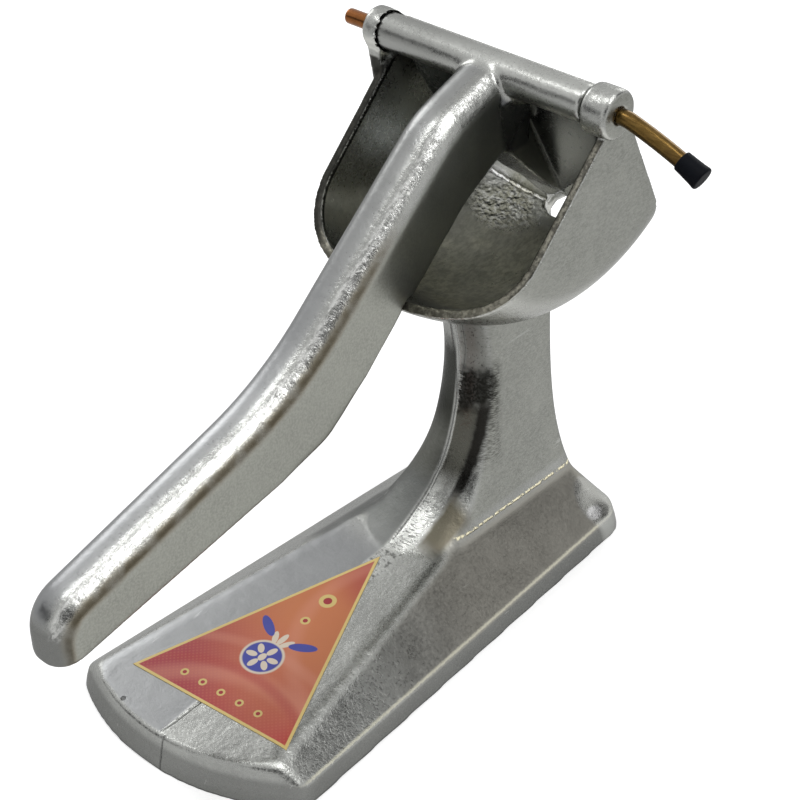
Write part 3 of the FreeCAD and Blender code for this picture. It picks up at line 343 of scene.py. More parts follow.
    # Painted highlight at the foot of the column, with painted dark streaks in it
    tint = look.mix(painted_foot_highlight * 0.5, tint, bare(1.4))
    tint = look.mix(painted_foot_highlight * hairs.step(0.5, 0.36) * 0.8, tint, bare(0.3))
    tint = look.mix(ridge * 0.5 * z.step(110, 96), tint, bare(1.7))
    tint = look.mix(crease_bead_and_highlight * 0.9, tint, (1.0, 0.93, 0.66))
    tint = look.mix(dish * 0.7, tint, bare(1.5))
    tint = look.mix(painted_flash.step(26, 8) * 0.8, tint, WHITE)
    dark = (seam * 0.5).high(lip * 0.5).high(split * 0.6).high(second * 0.4).high(pit * 0.8)
    tint = look.mix(dark, tint, bare(0.2))
    tint = look.mix(scratch * 0.4, tint, bare(1.6))
    # Relief and roughness
    height = parts["height"] - seam * 1.1 - lip * 0.8 - split * 1.2 - second * 0.8
    height = height + ridge * 0.7 - pit * 1.6 - scratch * 0.1 + slope * (1.0 - rear) * sand * 0.2
    height = height + crease_bead_and_highlight * 0.6
    relief = 1.0 - (plate_left_painted_shade * 0.4).high(slope * rear * 0.65).high(rim_side * 0.75)
    roughness = parts["roughness"] + plate_left_painted_shade * 0.1 + slope * rear * 0.1
    roughness = roughness - dish * 0.1 + painted_dark_block * 0.1 + above * 0.22
    roughness = roughness + (painted_foot_left_shade * 0.2).high(brown * 0.16).high(painted_low_left_shade * 0.1)
    return {"tint": tint, "height": height, "relief": relief, "roughness": roughness}


def lever_extra(look, parts):
    """Satin flat sides, a dark brown band low on the round of the shoulder, painted highlights
    and shade, and a sleeve painted paler.
    """
    x, y, z = in_mm(look)
    nx, _, nz = look.normal()
    side = nx.size().step(0.93, 0.99) * x.size().step(10, 13)
    spine = y.step(-95, -55) * side
    out = far_off(y, z - PIVOT_HEIGHT).step(170, 110)
    sleeve = out * x.size().step(14, 20).high(z.step(286, 290))
    plate = (1.0 - out) * y.step(-30, -22) * x.size().step(13.5, 15)
    edge = nx + (look.noise(9) - 0.5) * 0.035
    # A dark brown band with a darker line in it, set by the facing, low on the round of the
    # shoulder
    shoulder_band = edge.step(0.6, 0.86) * edge.step(0.995, 0.93) * y.step(-70, -110)
    shoulder_line = edge.step(0.74, 0.88) * edge.step(0.97, 0.91) * y.step(-70, -110)
    # Painted shade: the top of the handle is darker and bluish
    top = nx.step(0.3, -0.1) * nz.step(0.2, 0.6) * (1.0 - out)
    streak = look.noise(9, detail=3.0).step(0.3, 0.65)
    # Painted shade on the end of the handle
    cap = y.step(-286, -294) * nz.step(0.55, 0.2)
    fine = look.noise(1.1, detail=3.0, roughness=0.65)
    cloud = look.noise(16, detail=3.0)
    flat = look.mix(fine.step(0.3, 0.7), (0.27, 0.275, 0.245), (0.37, 0.375, 0.335))
    flat = look.mix(cloud.step(0.3, 0.7) * 0.35, flat, (0.37, 0.375, 0.335))
    tint = look.mix(top * 0.8, parts["tint"], (0.235, 0.24, 0.248))
    tint = look.mix(side * 0.9, tint, flat)
    tint = look.mix(spine * 0.5, tint, (0.27, 0.285, 0.265))
    tint = look.mix(shoulder_band * (0.35 + streak * 0.35), tint, (0.22, 0.185, 0.115))
    tint = look.mix(shoulder_line * (0.5 + streak * 0.35), tint, (0.06, 0.05, 0.032))
    tint = look.mix(cap * 0.75, tint, bare(0.36))
    # Painted shade: the front of the press plate is near black and bluish
    tint = look.mix(plate * 0.85, tint, (0.08, 0.084, 0.09))
    up = nz.step(0.1, 0.3) * (1.0 - out)
    shoulder = nx.step(0.25, 0.45) * nx.step(0.85, 0.7) * up
    relief = 1.0 - (side * 0.7).high(sleeve * 0.38).high(plate * 0.75).high(top * 0.45)
    # Painted highlight on the round of the shoulder, stronger on the upper handle
    painted_shoulder_highlight = nx.step(0.22, 0.42) * nx.step(0.8, 0.62) * up
    # The handle runs 28 degrees down from the pivot, and the streaks of its painted highlight run
    # along it.
    along, across = (y * 0.88 + z * 0.47) * 0.0003, (z * 0.88 - y * 0.47) * 0.001
    fibre = look.vector(x * 0.001, along, across)
    painted_shoulder_highlight = painted_shoulder_highlight * look.noise(1.8, detail=3.0, roughness=0.65, place=fibre).step(0.38, 0.6)
    upper = painted_shoulder_highlight * y.step(-150, -120) * y.step(-30, -60)
    tint = look.mix((painted_shoulder_highlight * 0.36).high(upper * 0.5), tint, (0.95, 0.95, 0.93))
    # The sleeve painted paler, with painted shade towards its left end
    tint = look.mix(sleeve * 0.28, tint, bare(1.5))
    tint = look.mix(sleeve * x.step(15, -45) * 0.6, tint, bare(0.7))
    # Painted shade on the top of the upper handle, between the bend and the sleeve
    painted_neck_shade = y.step(-150, -70) * nz.step(0, 0.3) * nx.step(0.6, 0.3) * (1.0 - out)
    tint = look.mix(painted_neck_shade * 0.5, tint, bare(0.62))
    relief = relief + shoulder * 0.35
    roughness = parts["roughness"] + side * 0.14 + sleeve * 0.05 + top * 0.08
    return {"tint": tint, "relief": relief, "roughness": roughness}


def bowl_extra(look, parts):
    """Juice stains on a tone painted pale inside, a hammered patch beside the outlet, a dark lip,
    satin sides and painted light, shade and highlights.
    """
    x, y, z = in_mm(look)
    nx, ny, nz = look.normal()
    deep = z.step(268, 225) * x.size().step(68, 60)
    inside = nz.step(-0.05, 0.25) * ny.step(0.45, 0.3) * deep
    stain = look.noise(18, detail=3.0).step(0.38, 0.66)
    spot = (x + 27) * (x + 27) * 0.9 + (y - 52) * (y - 52) + (z - 184) * (z - 184)
    spot = spot.step(640, 60) * inside
    painted_funnel_highlight = far_off(x, y - 61, z - 186).step(330, 150) * inside
    painted_flecks = look.noise(2.6, detail=3.0).step(0.46, 0.6)
    # The lip and its painted bright edge, on the plane of the front opening
    face = ny * RIM_NORMAL[0] + nz * RIM_NORMAL[1]
    depth = y * RIM_NORMAL[0] + (z - PIVOT_HEIGHT) * RIM_NORMAL[1] + RIM_SETBACK
    out = far_off(y, z - PIVOT_HEIGHT).step(190, 230)
    front = depth.step(-3.2, -2.2) * out
    lip = face.step(0.62, 0.8) * front
    bead_highlight = face.step(0.3, 0.45) * face.step(0.7, 0.56) * front
    bead_highlight = bead_highlight * look.noise(2.0, detail=2.0).step(0.4, 0.55)
    wash = look.noise(2.2, detail=4.0, roughness=0.7, place=look.stretched(1, 0.45, 0.45))
    pale = look.mix(wash.step(0.34, 0.66), (0.56, 0.55, 0.455), (0.86, 0.845, 0.72))
    # The stain pattern inside lies on a tone painted pale to stand in for light
    tint = look.mix(inside * (0.6 + stain * 0.3), parts["tint"], pale)
    # Painted light on the outside where it faces down
    painted_under_light = nz.step(-0.05, -0.35) * (1.0 - inside)
    tint = look.mix(painted_under_light * 0.85, tint, (0.58, 0.585, 0.55))
    # Painted light: the inside of the left wall is lighter and bluish, with a painted sheen
    left = x.step(-20, -60) * deep * nx.step(0.1, 0.4)
    tint = look.mix(left * 0.6, tint, (0.44, 0.455, 0.455))
    painted_sheen = far_off(y + 4, z - 243).step(900, 60) * left
    tint = look.mix(painted_sheen * 0.8, tint, (0.86, 0.92, 0.92))
    # Painted highlight round the outlet
    tint = look.mix(painted_funnel_highlight * 0.7, tint, bare(1.9))
    # Painted highlights: white flecks on the hammered patch
    tint = look.mix(spot * painted_flecks * 0.85, tint, (1.0, 1.0, 0.98))
    side = nx.step(0.8, 0.97) * x.step(60, 66)
    tint = look.mix(side * 0.8, tint, satin(look))
    mottle = look.noise(2.6, detail=3.0, roughness=0.7).step(0.4, 0.62)
    # A dark mottled tone for the lip
    lip_tone = look.mix(mottle, (0.04, 0.037, 0.028), (0.17, 0.162, 0.13))
    tint = look.mix(lip * 0.9, tint, lip_tone)
    # Painted highlight along the lip's edge
    tint = look.mix(bead_highlight * 0.25, tint, bare(1.7))
    # Painted shade: the lip on the left is near black
    painted_left_lip_shade = depth.step(-3.2, -2.4) * x.step(-44, -56) * out
    tint = look.mix(painted_left_lip_shade * (1.0 - bead_highlight * 0.5) * 0.9, tint, (0.022, 0.022, 0.02))
    relief = 1.0 - (side * 0.5).high(left * 0.55).high(inside * 0.3 * (1.0 - spot))
    roughness = parts["roughness"] + inside * 0.04 - spot * 0.15 + lip * 0.1
    hammer = look.noise(2.7, detail=1.5, roughness=0.45)
    # A white painted highlight low inside, near the rear wall
    painted_hot_spot = (x + 41) * (x + 41) * 0.5 + (y - 56) * (y - 56) + (z - 191) * (z - 191)
    tint = look.mix(painted_hot_spot.step(60, 12) * 0.8, tint, WHITE)
    height = parts["height"] * (1.0 - spot * 0.4) + hammer * spot * 0.9 + bead_highlight * 0.4
    return {"tint": tint, "relief": relief, "roughness": roughness, "height": height}


stand_metal = cast_metal("stand cast aluminium", 0.27, 0.9, 0.5, stand_extra)
bowl_metal = cast_metal("bowl cast aluminium", 0.28, 0.75, 0.0, bowl_extra)
lever_metal = cast_metal("lever cast aluminium", 0.25, 0.8, 0.3, lever_extra)


def rod_metal():
    """Yellow passivated steel, redder at its left end, with streaks along it."""
    look = Look("yellow passivated steel", Metallic=1.0)
    x = in_mm(look)[0]
    streaks = look.noise(1.0, detail=3.0, place=look.stretched(0.06, 1, 1))
    blotch = look.noise(7, detail=3.0)
    tint = look.mix(streaks.step(0.3, 0.75), (0.1, 0.06, 0.017), (0.155, 0.096, 0.03))
    tint = look.mix(x.step(-70, -84) * 0.8, tint, (0.24, 0.085, 0.028))
    tint = look.mix(blotch.step(0.48, 0.72) * 0.5, tint, (0.06, 0.034, 0.013))
    normal = look.bump(streaks, 0.02)
    return look.set(Base_Color=tint, Roughness=0.22 + streaks * 0.1, Normal=normal)


def cap_rubber():
    """Dull black rubber."""
    look = Look("black rubber", Metallic=0.0, Specular_IOR_Level=0.06)
    mottle = look.noise(2.2, detail=3.0)
    tint = look.mix(mottle, (0.0022, 0.0025, 0.004), (0.005, 0.006, 0.009))
    normal = look.bump(look.noise(0.5), 0.06)
    return look.set(Base_Color=tint, Roughness=0.45 + mottle * 0.2, Normal=normal)


def zinc():
    """The plated steel of the screws and washers."""
    look = Look("zinc plated steel", Metallic=1.0)
    mottle = look.noise(1.5, detail=3.0)
    tint = look.mix(mottle, (0.48, 0.48, 0.46), (0.66, 0.66, 0.64))
    return look.set(Base_Color=tint, Roughness=0.3 + mottle * 0.15,
                    Normal=look.bump(mottle, 0.05))


# Pieces

def merged_copy(node, name):
    """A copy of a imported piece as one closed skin."""
    piece = bpy.data.objects.new(name, nodes[node].data.copy())
    bpy.context.scene.collection.objects.link(piece)
    mesh = bmesh.new()
    mesh.from_mesh(piece.data)
    bmesh.ops.remove_doubles(mesh, verts=mesh.verts, dist=1e-6)
    mesh.to_mesh(piece.data)
    mesh.free()
    piece.data.materials.clear()
    return piece


def bake_modifiers(piece):
    """Makes the modified mesh the piece's own."""
    graph = bpy.context.evaluated_depsgraph_get()
    done = bpy.data.meshes.new_from_object(piece.evaluated_get(graph))
    piece.modifiers.clear()
    old = piece.data
    piece.data = done
    bpy.data.meshes.remove(old)


def smooth_mesh(piece):
    for face in piece.data.polygons:
        face.use_smooth = True


def open_bore(piece, radius, reach, start=-200, end=200):
    """Sets the skin inside a bore about the pivot back to the bore's radius."""
    for vertex in piece.data.vertices:
        y, z = vertex.co.y - PIVOT.y, vertex.co.z - PIVOT.z
        off = math.hypot(y, z)
        if 0 < off < reach * MM and start * MM < vertex.co.x < end * MM:
            vertex.co.y = PIVOT.y + y * radius * MM / off
            vertex.co.z = PIVOT.z + z * radius * MM / off


def soften_more(piece, weigh, rounds):
    """Further smoothing where weigh, given a spot in mm, is above 0."""
    group = piece.vertex_groups.new(name="soft")
    for vertex in piece.data.vertices:
        weight = weigh(*(vertex.co * 1000))
        if weight > 0:
            group.add([vertex.index], min(weight, 1.0), "REPLACE")
    soften = piece.modifiers.new("softer", "SMOOTH")
    soften.factor = 0.5
    soften.iterations = rounds
    soften.vertex_group = "soft"
    bake_modifiers(piece)
    smooth_mesh(piece)


def cast_skin(node, name, voxel_mm, rounds, material, added=()):
    """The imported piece, with any added solids, with the soft edges of a casting."""
    piece = merged_copy(node, name)
    if added:
        mesh = bmesh.new()
        mesh.from_mesh(piece.data)
        for points in added:
            corners = [mesh.verts.new(Vector(point) * MM) for point in points]
            bmesh.ops.convex_hull(mesh, input=corners)
        mesh.to_mesh(piece.data)
        mesh.free()
    remesh = piece.modifiers.new("even skin", "REMESH")
    remesh.mode = "VOXEL"
    remesh.voxel_size = voxel_mm * MM
    remesh.adaptivity = 0.0
    soften = piece.modifiers.new("soft edges", "SMOOTH")
    soften.factor = 0.5
    soften.iterations = rounds
    bake_modifiers(piece)
    smooth_mesh(piece)
    piece.data.materials.append(material)
    return piece


def ridge_weight(x, y, z):
    """Where the flat top of the base plate turns down to its slopes."""
    if y > -44 or z < 13 or (z <= 15 and y >= -200):
        return 0.0
    ridge = 63.5 - (y + 245) * 36.5 / 195
    return 1.2 - abs(abs(x) - ridge) / 9


def boss_weight(x, y, z):
    """The mouth of the left boss, where the sleeve's end lies in its recess."""
    off = math.hypot(y, z - PIVOT_HEIGHT)
    return 1.0 if -69.5 < x < -62 and 8.8 < off < 12.8 else 0.0


def level_foot(piece, cut, top):
    """Cuts the soft lower edge off level and stretches what is below top down to the table."""
    mesh = bmesh.new()
    mesh.from_mesh(piece.data)
    found = bmesh.ops.bisect_plane(
        mesh, geom=mesh.verts[:] + mesh.edges[:] + mesh.faces[:], dist=1e-7,
        plane_co=(0, 0, cut * MM), plane_no=(0, 0, 1), clear_inner=True,
    )
    rim = [item for item in found["geom_cut"] if isinstance(item, bmesh.types.BMEdge)]
    bmesh.ops.triangle_fill(mesh, edges=rim, use_beauty=True)
    for vertex in mesh.verts:
        if vertex.co.z < top * MM:
            vertex.co.z = top * (vertex.co.z - cut * MM) / (top - cut)
    bmesh.ops.recalc_face_normals(mesh, faces=mesh.faces)
    mesh.to_mesh(piece.data)
    mesh.free()
    smooth_mesh(piece)


def dent(piece, centre, radius, depth):
    """A shallow round dent pressed straight down."""
    for vertex in piece.data.vertices:
        off = (vertex.co * 1000 - Vector(centre)).length / radius
        if off < 1 and vertex.normal.z > 0.2:
            vertex.co.z -= depth * MM * (1 - off * off) ** 2


def bend_weight(x, y, z):
    """The underside of the handle, where it bends up to the bowl."""
    return 1.3 - math.hypot(y + 128, z - 143) / 26


def finish_piece(piece, body, replaced):
    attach(piece, body)
    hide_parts(replaced)


stand = cast_skin("stand", "stand_casting", 1.35, 16, stand_metal)
soften_more(stand, ridge_weight, 60)
level_foot(stand, 1.6, 6.0)
dent(stand, (48, 46.5, 19.5), 13.5, 0.8)
finish_piece(stand, "frame", "stand")
bowl = cast_skin("bowl", "bowl_casting", 1.19, 7, bowl_metal)
soften_more(bowl, boss_weight, 16)
open_bore(bowl, BORE_RADIUS, BORE_REACH)
open_bore(bowl, 10.1, 10.1, -67.15, -60)
finish_piece(bowl, "frame", "bowl")
# Small webs between the spine, the sleeve and the press plate, each a hull of points in mm
WEBS = [[
    (side * x, y, z) for x, y, z in (
        (12, -13, 279), (15.5, -10, 275), (21, 3, 277), (21, 6, 270), (12, 8, 276),
        (12, -4, 245), (14.2, -4, 245), (14.6, 12, 246), (12, 14, 246),
    )
] for side in (1, -1)]
lever = cast_skin("lever", "lever_casting", 1.15, 8, lever_metal, WEBS)
soften_more(lever, bend_weight, 110)
open_bore(lever, BORE_RADIUS, BORE_REACH)
finish_piece(lever, "press_lever", "lever")


def mesh_piece(name, rings, material):
    """A skin through rings of points, with its two ends closed."""
    mesh = bmesh.new()
    rows = [[mesh.verts.new(point) for point in ring] for ring in rings]
    for row, above in zip(rows, rows[1:]):
        count = len(row)
        for i in range(count):
            mesh.faces.new((row[i], row[(i + 1) % count], above[(i + 1) % count], above[i]))
    mesh.faces.new(reversed(rows[0]))
    mesh.faces.new(rows[-1])
    bmesh.ops.recalc_face_normals(mesh, faces=mesh.faces)
    data = bpy.data.meshes.new(name)
    mesh.to_mesh(data)
    mesh.free()
    data.materials.append(material)
    piece = bpy.data.objects.new(name, data)
    bpy.context.scene.collection.objects.link(piece)
    smooth_mesh(piece)
    return piece


# The rod's axis, in mm: a straight run, a bend and a tail that goes on turning slowly
ROD_START = -92.9
ROD_BEND_START = 76.4
ROD_STRAIGHT = 169.3
ROD_BEND, ROD_BEND_TURN = 20.0, math.radians(16)
ROD_TAIL, ROD_TAIL_TURN = 283.0, math.radians(7.8)
ROD_LENGTH = ROD_STRAIGHT + ROD_BEND * ROD_BEND_TURN + ROD_TAIL * ROD_TAIL_TURN
ROUND_COUNT = 48


def rod_spot(along):
    """The point, in mm, and the downward turn of the rod's axis at a length from its left end."""
    if along <= ROD_STRAIGHT:
        return along + ROD_START, PIVOT_HEIGHT, 0.0
    turn = min((along - ROD_STRAIGHT) / ROD_BEND, ROD_BEND_TURN)
    x = ROD_BEND_START + ROD_BEND * math.sin(turn)
    z = PIVOT_HEIGHT - ROD_BEND * (1 - math.cos(turn))
    rest = along - ROD_STRAIGHT - ROD_BEND * ROD_BEND_TURN
    if rest > 0:
        turn = ROD_BEND_TURN + rest / ROD_TAIL
        x += ROD_TAIL * (math.sin(turn) - math.sin(ROD_BEND_TURN))
        z += ROD_TAIL * (math.cos(turn) - math.cos(ROD_BEND_TURN))
    return x, z, turn


def ring_round(x, z, turn, radius):
    """A ring of points square to the rod's axis."""
    points = []
    for i in range(ROUND_COUNT):
        angle = 2 * math.pi * i / ROUND_COUNT
        side, up = radius * math.cos(angle), radius * math.sin(angle)
        points.append(Vector((x + up * math.sin(turn), side, z + up * math.cos(turn))) * MM)
    return points


def build_rod():
    """The rod as rings of a length along it and a radius, with a rounded left end."""
    rings = [(0.0, 2.6), (0.12, 3.2), (0.45, 3.7), (0.9, 3.93), (1.4, 3.99)]
    rings += [(3 + i * 4.0, 4.0) for i in range(42)]
    rings += [(170 + i * 1.0, 4.0) for i in range(int(ROD_LENGTH - 171))]
    rings += [(ROD_LENGTH - 0.4, 4.0), (ROD_LENGTH, 3.7)]
    skin = [ring_round(*rod_spot(along), radius) for along, radius in rings]
    return mesh_piece("pivot_rod_skin", skin, rod_metal())


def build_cap():
    """A flared rubber cap pushed over the end of the rod."""
    inner = [(0.03, 1.0), (0.03, 3.6), (0.0, 4.03), (-4.0, 4.03), (-8.9, 4.03)]
    outer = [
        (-9.15, 4.25), (-9.1, 4.75), (-8.8, 4.98), (-8.2, 5.04), (-4, 5.28), (0, 5.55),
        (2.4, 5.86), (3.1, 5.9), (3.6, 5.75), (3.9, 5.4), (4.0, 4.9), (4.0, 3.0),
    ]
    x, z, turn = rod_spot(ROD_LENGTH)
    skin = [
        ring_round(x + along * math.cos(turn), z - along * math.sin(turn), turn, radius)
        for along, radius in inner + outer
    ]
    return mesh_piece("rod_cap_skin", skin, cap_rubber())


finish_piece(build_rod(), "rod", "pivot_rod")
finish_piece(build_cap(), "rod", "rod_cap")
screw_metal = zinc()
for name, node in nodes.items():
    if "bolt" in name or "washer" in name:
        node.data.materials.clear()
        node.data.materials.append(screw_metal)


# Label

LABEL = [(2.4, -83.5), (-44.5, -215.7), (54.2, -205.9)]  # corners in mm, apex first
LABEL_ROWS = 26
LABEL_LIFT = 0.05  # mm between the casting and the sheet
LABEL_THICKNESS = 0.28  # mm
CREAM, INK, GOLD = (0.62, 0.54, 0.44), (0.045, 0.055, 0.30), (0.60, 0.46, 0.17)
PALE_SWEEP, DARK_SWEEP = (0.62, 0.27, 0.19), (0.36, 0.04, 0.035)


def label_look():
    """Orange to crimson print with sweeps, a dotted tone, a fruit, rings and a yellow edge."""
    look = Look("printed foil", Roughness=0.36, Specular_IOR_Level=0.3, Coat_Weight=0.12,
                Coat_Roughness=0.12)
    x, y, _ = in_mm(look)
    inside = None
    for (ax, ay), (bx, by) in zip(LABEL, LABEL[1:] + LABEL[:1]):
        long = math.hypot(bx - ax, by - ay)
        off = (x - ax) * (-(by - ay) / long) + (y - ay) * ((bx - ax) / long)
        inside = off if inside is None else inside.low(off)
    blend = look.noise(60, detail=1.0)
    fall = (y + 215) / 130.0 + (blend - 0.5) * 0.5
    left = (x * -1.0 - y - 172.0).step(-10, 60)
    tint = look.mix(fall.step(0.0, 0.34), (0.42, 0.055, 0.05), (0.46, 0.125, 0.065))
    tint = look.mix(left * 0.75, tint, (0.30, 0.022, 0.045))
    tint = look.mix(fall.step(0.36, 0.62), tint, (0.50, 0.165, 0.065))
    tint = look.mix(fall.step(0.7, 0.95), tint, (0.36, 0.06, 0.045))
    for cx, cy, radius, wide, share, tone in (
        (30, -262, 78, 9, 0.4, PALE_SWEEP), (18, -258, 92, 5, 0.3, PALE_SWEEP),
        (60, -120, 62, 7, 0.3, PALE_SWEEP), (14, -263, 79, 5, 0.55, DARK_SWEEP),
    ):
        arc = far_off(x - cx, y - cy).math("SQRT") - radius
        tint = look.mix(arc.size().step(wide, 0.5) * share, tint, tone)
    dots = look.cells(1.9, randomness=0.0, place=look.stretched(1, 1, 0, (0, 0, 45)))
    tint = look.mix(dots.step(0.34, 0.22) * 0.16 * fall.step(0.7, 0.1), tint, (0.62, 0.24, 0.12))

    def drop(cx, cy, wide, tall, turn):
        """1 in an oval with those half widths, turned by an angle."""
        cosine, sine = math.cos(math.radians(turn)), math.sin(math.radians(turn))
        u = ((x - cx) * cosine + (y - cy) * sine) / wide
        v = ((y - cy) * cosine - (x - cx) * sine) / tall
        return far_off(u, v).step(1.12, 0.92)

    fruit = drop(3.5, -172, 11.5, 11, 0)
    seeds = [drop(3.5 + 6.2 * math.cos(k), -172 + 5.6 * math.sin(k), 1.7, 3.1,
                  math.degrees(k) + 90) for k in (0.2, 1.3, 2.4, 3.4, 4.5, 5.6)]
    crown = [drop(3.5 + dx, -158.6 + dy, 1.6, 4.2, turn) for dx, dy, turn in
             ((-4, 0, 32), (0, 1.2, 0), (4, 0, -32))]
    leaves = [drop(-9, -155, 2.6, 7.5, 60), drop(15.5, -155, 2.6, 7.5, -60)]
    tint = look.mix(fruit.high(crown[0]).high(crown[1]).high(crown[2]), tint, CREAM)
    tint = look.mix(drop(3.5, -172, 10.2, 9.7, 0), tint, INK)
    for seed in seeds + [drop(3.5, -172, 1.9, 2.6, 0)]:
        tint = look.mix(seed, tint, CREAM)
    for leaf in leaves:
        tint = look.mix(leaf, tint, INK)
    for cx, cy, radius in ((3, -124, 4.6), (3.4, -141, 2.6), (-20, -203, 2.2), (-8, -202, 2.2),
                           (4, -201, 2.2), (16, -200, 2.2), (28, -199, 2.2)):
        tint = look.mix(drop(cx, cy, radius, radius, 0), tint, GOLD)
        tint = look.mix(drop(cx, cy, radius * 0.5, radius * 0.5, 0), tint, (0.30, 0.02, 0.03))
    tint = look.mix(inside.step(1.7, 1.4), tint, (0.66, 0.5, 0.19))
    normal = look.bump(look.noise(14, detail=2.0), 0.35)
    return look.set(Base_Color=tint, Normal=normal)


def build_label():
    """A thin sheet that follows the skin of the base plate."""
    corners = [Vector((x, y, 0)) for x, y in LABEL]
    mesh = bmesh.new()
    grid = {}
    for i in range(LABEL_ROWS + 1):
        for j in range(LABEL_ROWS + 1 - i):
            a, b = i / LABEL_ROWS, j / LABEL_ROWS
            flat = corners[0] * (1 - a - b) + corners[1] * a + corners[2] * b
            start = Vector((flat.x, flat.y, 80)) * MM
            spot = stand.ray_cast(start, Vector((0, 0, -1)))[1]
            grid[i, j] = mesh.verts.new((spot.x, spot.y, spot.z + LABEL_LIFT * MM))
    for i in range(LABEL_ROWS):
        for j in range(LABEL_ROWS - i):
            mesh.faces.new((grid[i, j], grid[i + 1, j], grid[i, j + 1]))
            if i + j < LABEL_ROWS - 1:
                mesh.faces.new((grid[i + 1, j], grid[i + 1, j + 1], grid[i, j + 1]))
    within = [vertex for vertex in mesh.verts if not vertex.is_boundary]
    bmesh.ops.smooth_vert(mesh, verts=within, factor=0.5, use_axis_z=True)
    sheet = bmesh.ops.extrude_face_region(mesh, geom=mesh.faces[:])
    top = [item for item in sheet["geom"] if isinstance(item, bmesh.types.BMVert)]
    bmesh.ops.translate(mesh, verts=top, vec=(0, 0, LABEL_THICKNESS * MM))
    bmesh.ops.recalc_face_normals(mesh, faces=mesh.faces)
    data = bpy.data.meshes.new("label_sheet")
    mesh.to_mesh(data)
    mesh.free()
    data.materials.append(label_look())
    piece = bpy.data.objects.new("label_sheet", data)
    bpy.context.scene.collection.objects.link(piece)
    return piece


finish_piece(build_label(), "frame", "label")


# Studio

def card(name, centre, width, height, facing, material):
    """A flat sheet of the studio."""
    mesh = bmesh.new()
    bmesh.ops.create_grid(mesh, x_segments=1, y_segments=1, size=0.5)
    turn = Vector(facing).to_track_quat("Z", "Y").to_matrix().to_4x4()
    bmesh.ops.transform(
        mesh, verts=mesh.verts,
        matrix=Matrix.Translation(centre) @ turn @ Matrix.Diagonal((width, height, 1, 1)),
    )
    data = bpy.data.meshes.new(name)
    mesh.to_mesh(data)
    mesh.free()
    data.materials.append(material)
    item = bpy.data.objects.new(name, data)
    bpy.context.scene.collection.objects.link(item)
    return item


def white_where_seen(tree, shown, plain):
    """The shader shown to the camera, reflections and glass, and plain for the rest."""
    path = tree.nodes.new("ShaderNodeLightPath")
    seen = Sock(tree, path.outputs["Is Camera Ray"]).high(
        Sock(tree, path.outputs["Is Glossy Ray"])).high(
        Sock(tree, path.outputs["Is Transmission Ray"]))
    mix = tree.nodes.new("ShaderNodeMixShader")
    tree.links.new(seen.out, mix.inputs[0])
    tree.links.new(plain, mix.inputs[1])
    tree.links.new(shown, mix.inputs[2])
    return mix.outputs[0]


def build_world():
    """Soft white light, and pure white behind the object."""
    world = bpy.data.worlds.new("studio")
    bpy.context.scene.world = world
    world.use_nodes = True
    tree = world.node_tree
    plain = tree.nodes["Background"]
    plain.inputs["Color"].default_value = (1, 1, 1, 1)
    plain.inputs["Strength"].default_value = 0.45
    shown = tree.nodes.new("ShaderNodeBackground")
    shown.inputs["Color"].default_value = (1, 1, 1, 1)
    shown.inputs["Strength"].default_value = 1.0
    out = white_where_seen(tree, shown.outputs[0], plain.outputs[0])
    tree.links.new(out, tree.nodes["World Output"].inputs["Surface"])


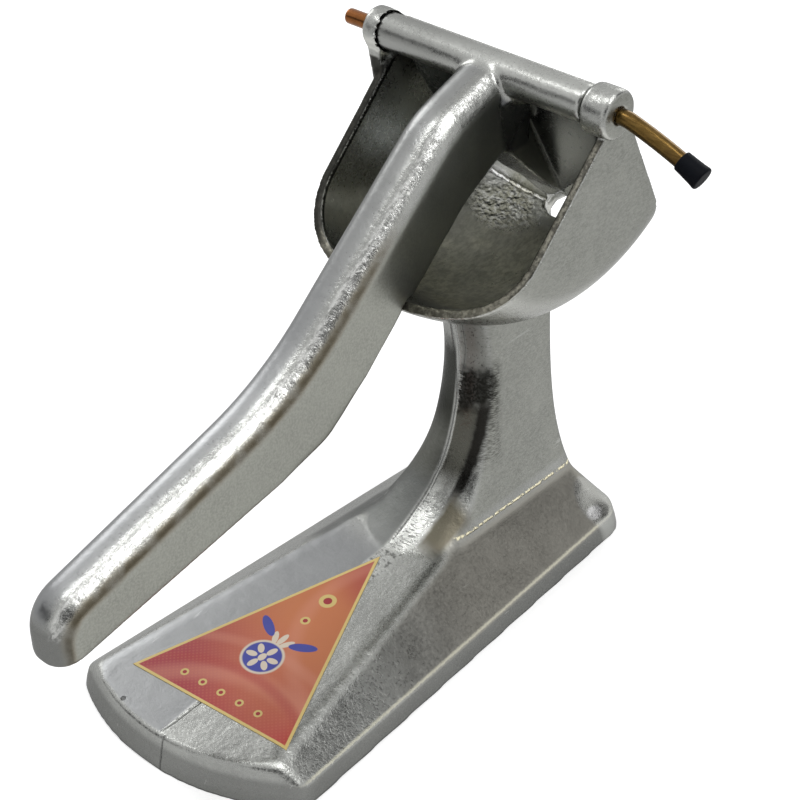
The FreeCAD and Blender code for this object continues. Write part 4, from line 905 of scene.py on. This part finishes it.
def build_floor():
    """Pale floor that shows white where no shadow falls on it."""
    look = Look("floor", Roughness=0.6)
    look.set(Base_Color=(0.88, 0.88, 0.88))
    tree = look.tree
    glow = tree.nodes.new("ShaderNodeEmission")
    path = tree.nodes.new("ShaderNodeLightPath")
    shown = Sock(tree, path.outputs["Is Camera Ray"])
    seen = Sock(tree, path.outputs["Is Glossy Ray"]).high(
        Sock(tree, path.outputs["Is Transmission Ray"]))
    plug(tree, glow.inputs["Strength"], shown * 0.42 + seen * 0.16)
    both = tree.nodes.new("ShaderNodeAddShader")
    tree.links.new(look.shader.outputs[0], both.inputs[0])
    tree.links.new(glow.outputs[0], both.inputs[1])
    tree.links.new(both.outputs[0], tree.nodes["Material Output"].inputs["Surface"])
    card("floor", (0, 0, -0.0002), 8, 8, (0, 0, 1), look.material)


def lamp(name, centre, aim, width, height, power):
    """A flat lamp that faces the point aim."""
    data = bpy.data.lights.new(name, "AREA")
    data.shape = "RECTANGLE"
    data.size = width
    data.size_y = height
    data.energy = power
    item = bpy.data.objects.new(name, data)
    item.location = centre
    item.rotation_euler = (Vector(aim) - Vector(centre)).to_track_quat("-Z", "Y").to_euler()
    bpy.context.scene.collection.objects.link(item)


def dark_card(name, centre, width, height):
    """A dark sheet of the studio that only reflections see."""
    look = Look(name, Roughness=1.0)
    look.set(Base_Color=(0.035, 0.035, 0.037), Specular_IOR_Level=0.0)
    facing = Vector((0, 0, 0.15)) - Vector(centre)
    item = card(name, centre, width, height, facing, look.material)
    item.visible_camera = False
    item.visible_diffuse = False
    item.visible_shadow = False


build_world()
build_floor()
dark_card("behind the camera", (1.5, -1.6, 1.3), 2.2, 1.4)
dark_card("low on the front left", (-1.0, -1.5, 0.6), 1.1, 0.6)
dark_card("to the rear right", (1.15, 1.35, 1.35), 1.2, 0.9)
lamp("over the right", (0.66, -0.1, 1.42), (0, -0.1, 0.15), 0.26, 1.1, 7)
lamp("over the front", (-0.42, -0.45, 1.5), (0, -0.05, 0.12), 0.22, 0.45, 3.2)
lamp("left", (-1.5, 0.2, 1.0), (0, -0.1, 0.15), 0.7, 0.8, 7)
lamp("rear", (-0.3, 1.5, 0.8), (0, 0, 0.15), 0.8, 0.5, 4)


def build_camera():
    """The camera fitted to the photograph."""
    data = bpy.data.cameras.new("camera")
    data.sensor_width = 36
    data.lens = 79.44
    item = bpy.data.objects.new("camera", data)
    item.location = (0.48452, -0.60355, 0.64549)
    item.rotation_euler = (math.radians(54.35), 0, math.radians(41.98))
    bpy.context.scene.collection.objects.link(item)
    bpy.context.scene.camera = item


build_camera()
bpy.context.scene.view_settings.view_transform = "Standard"
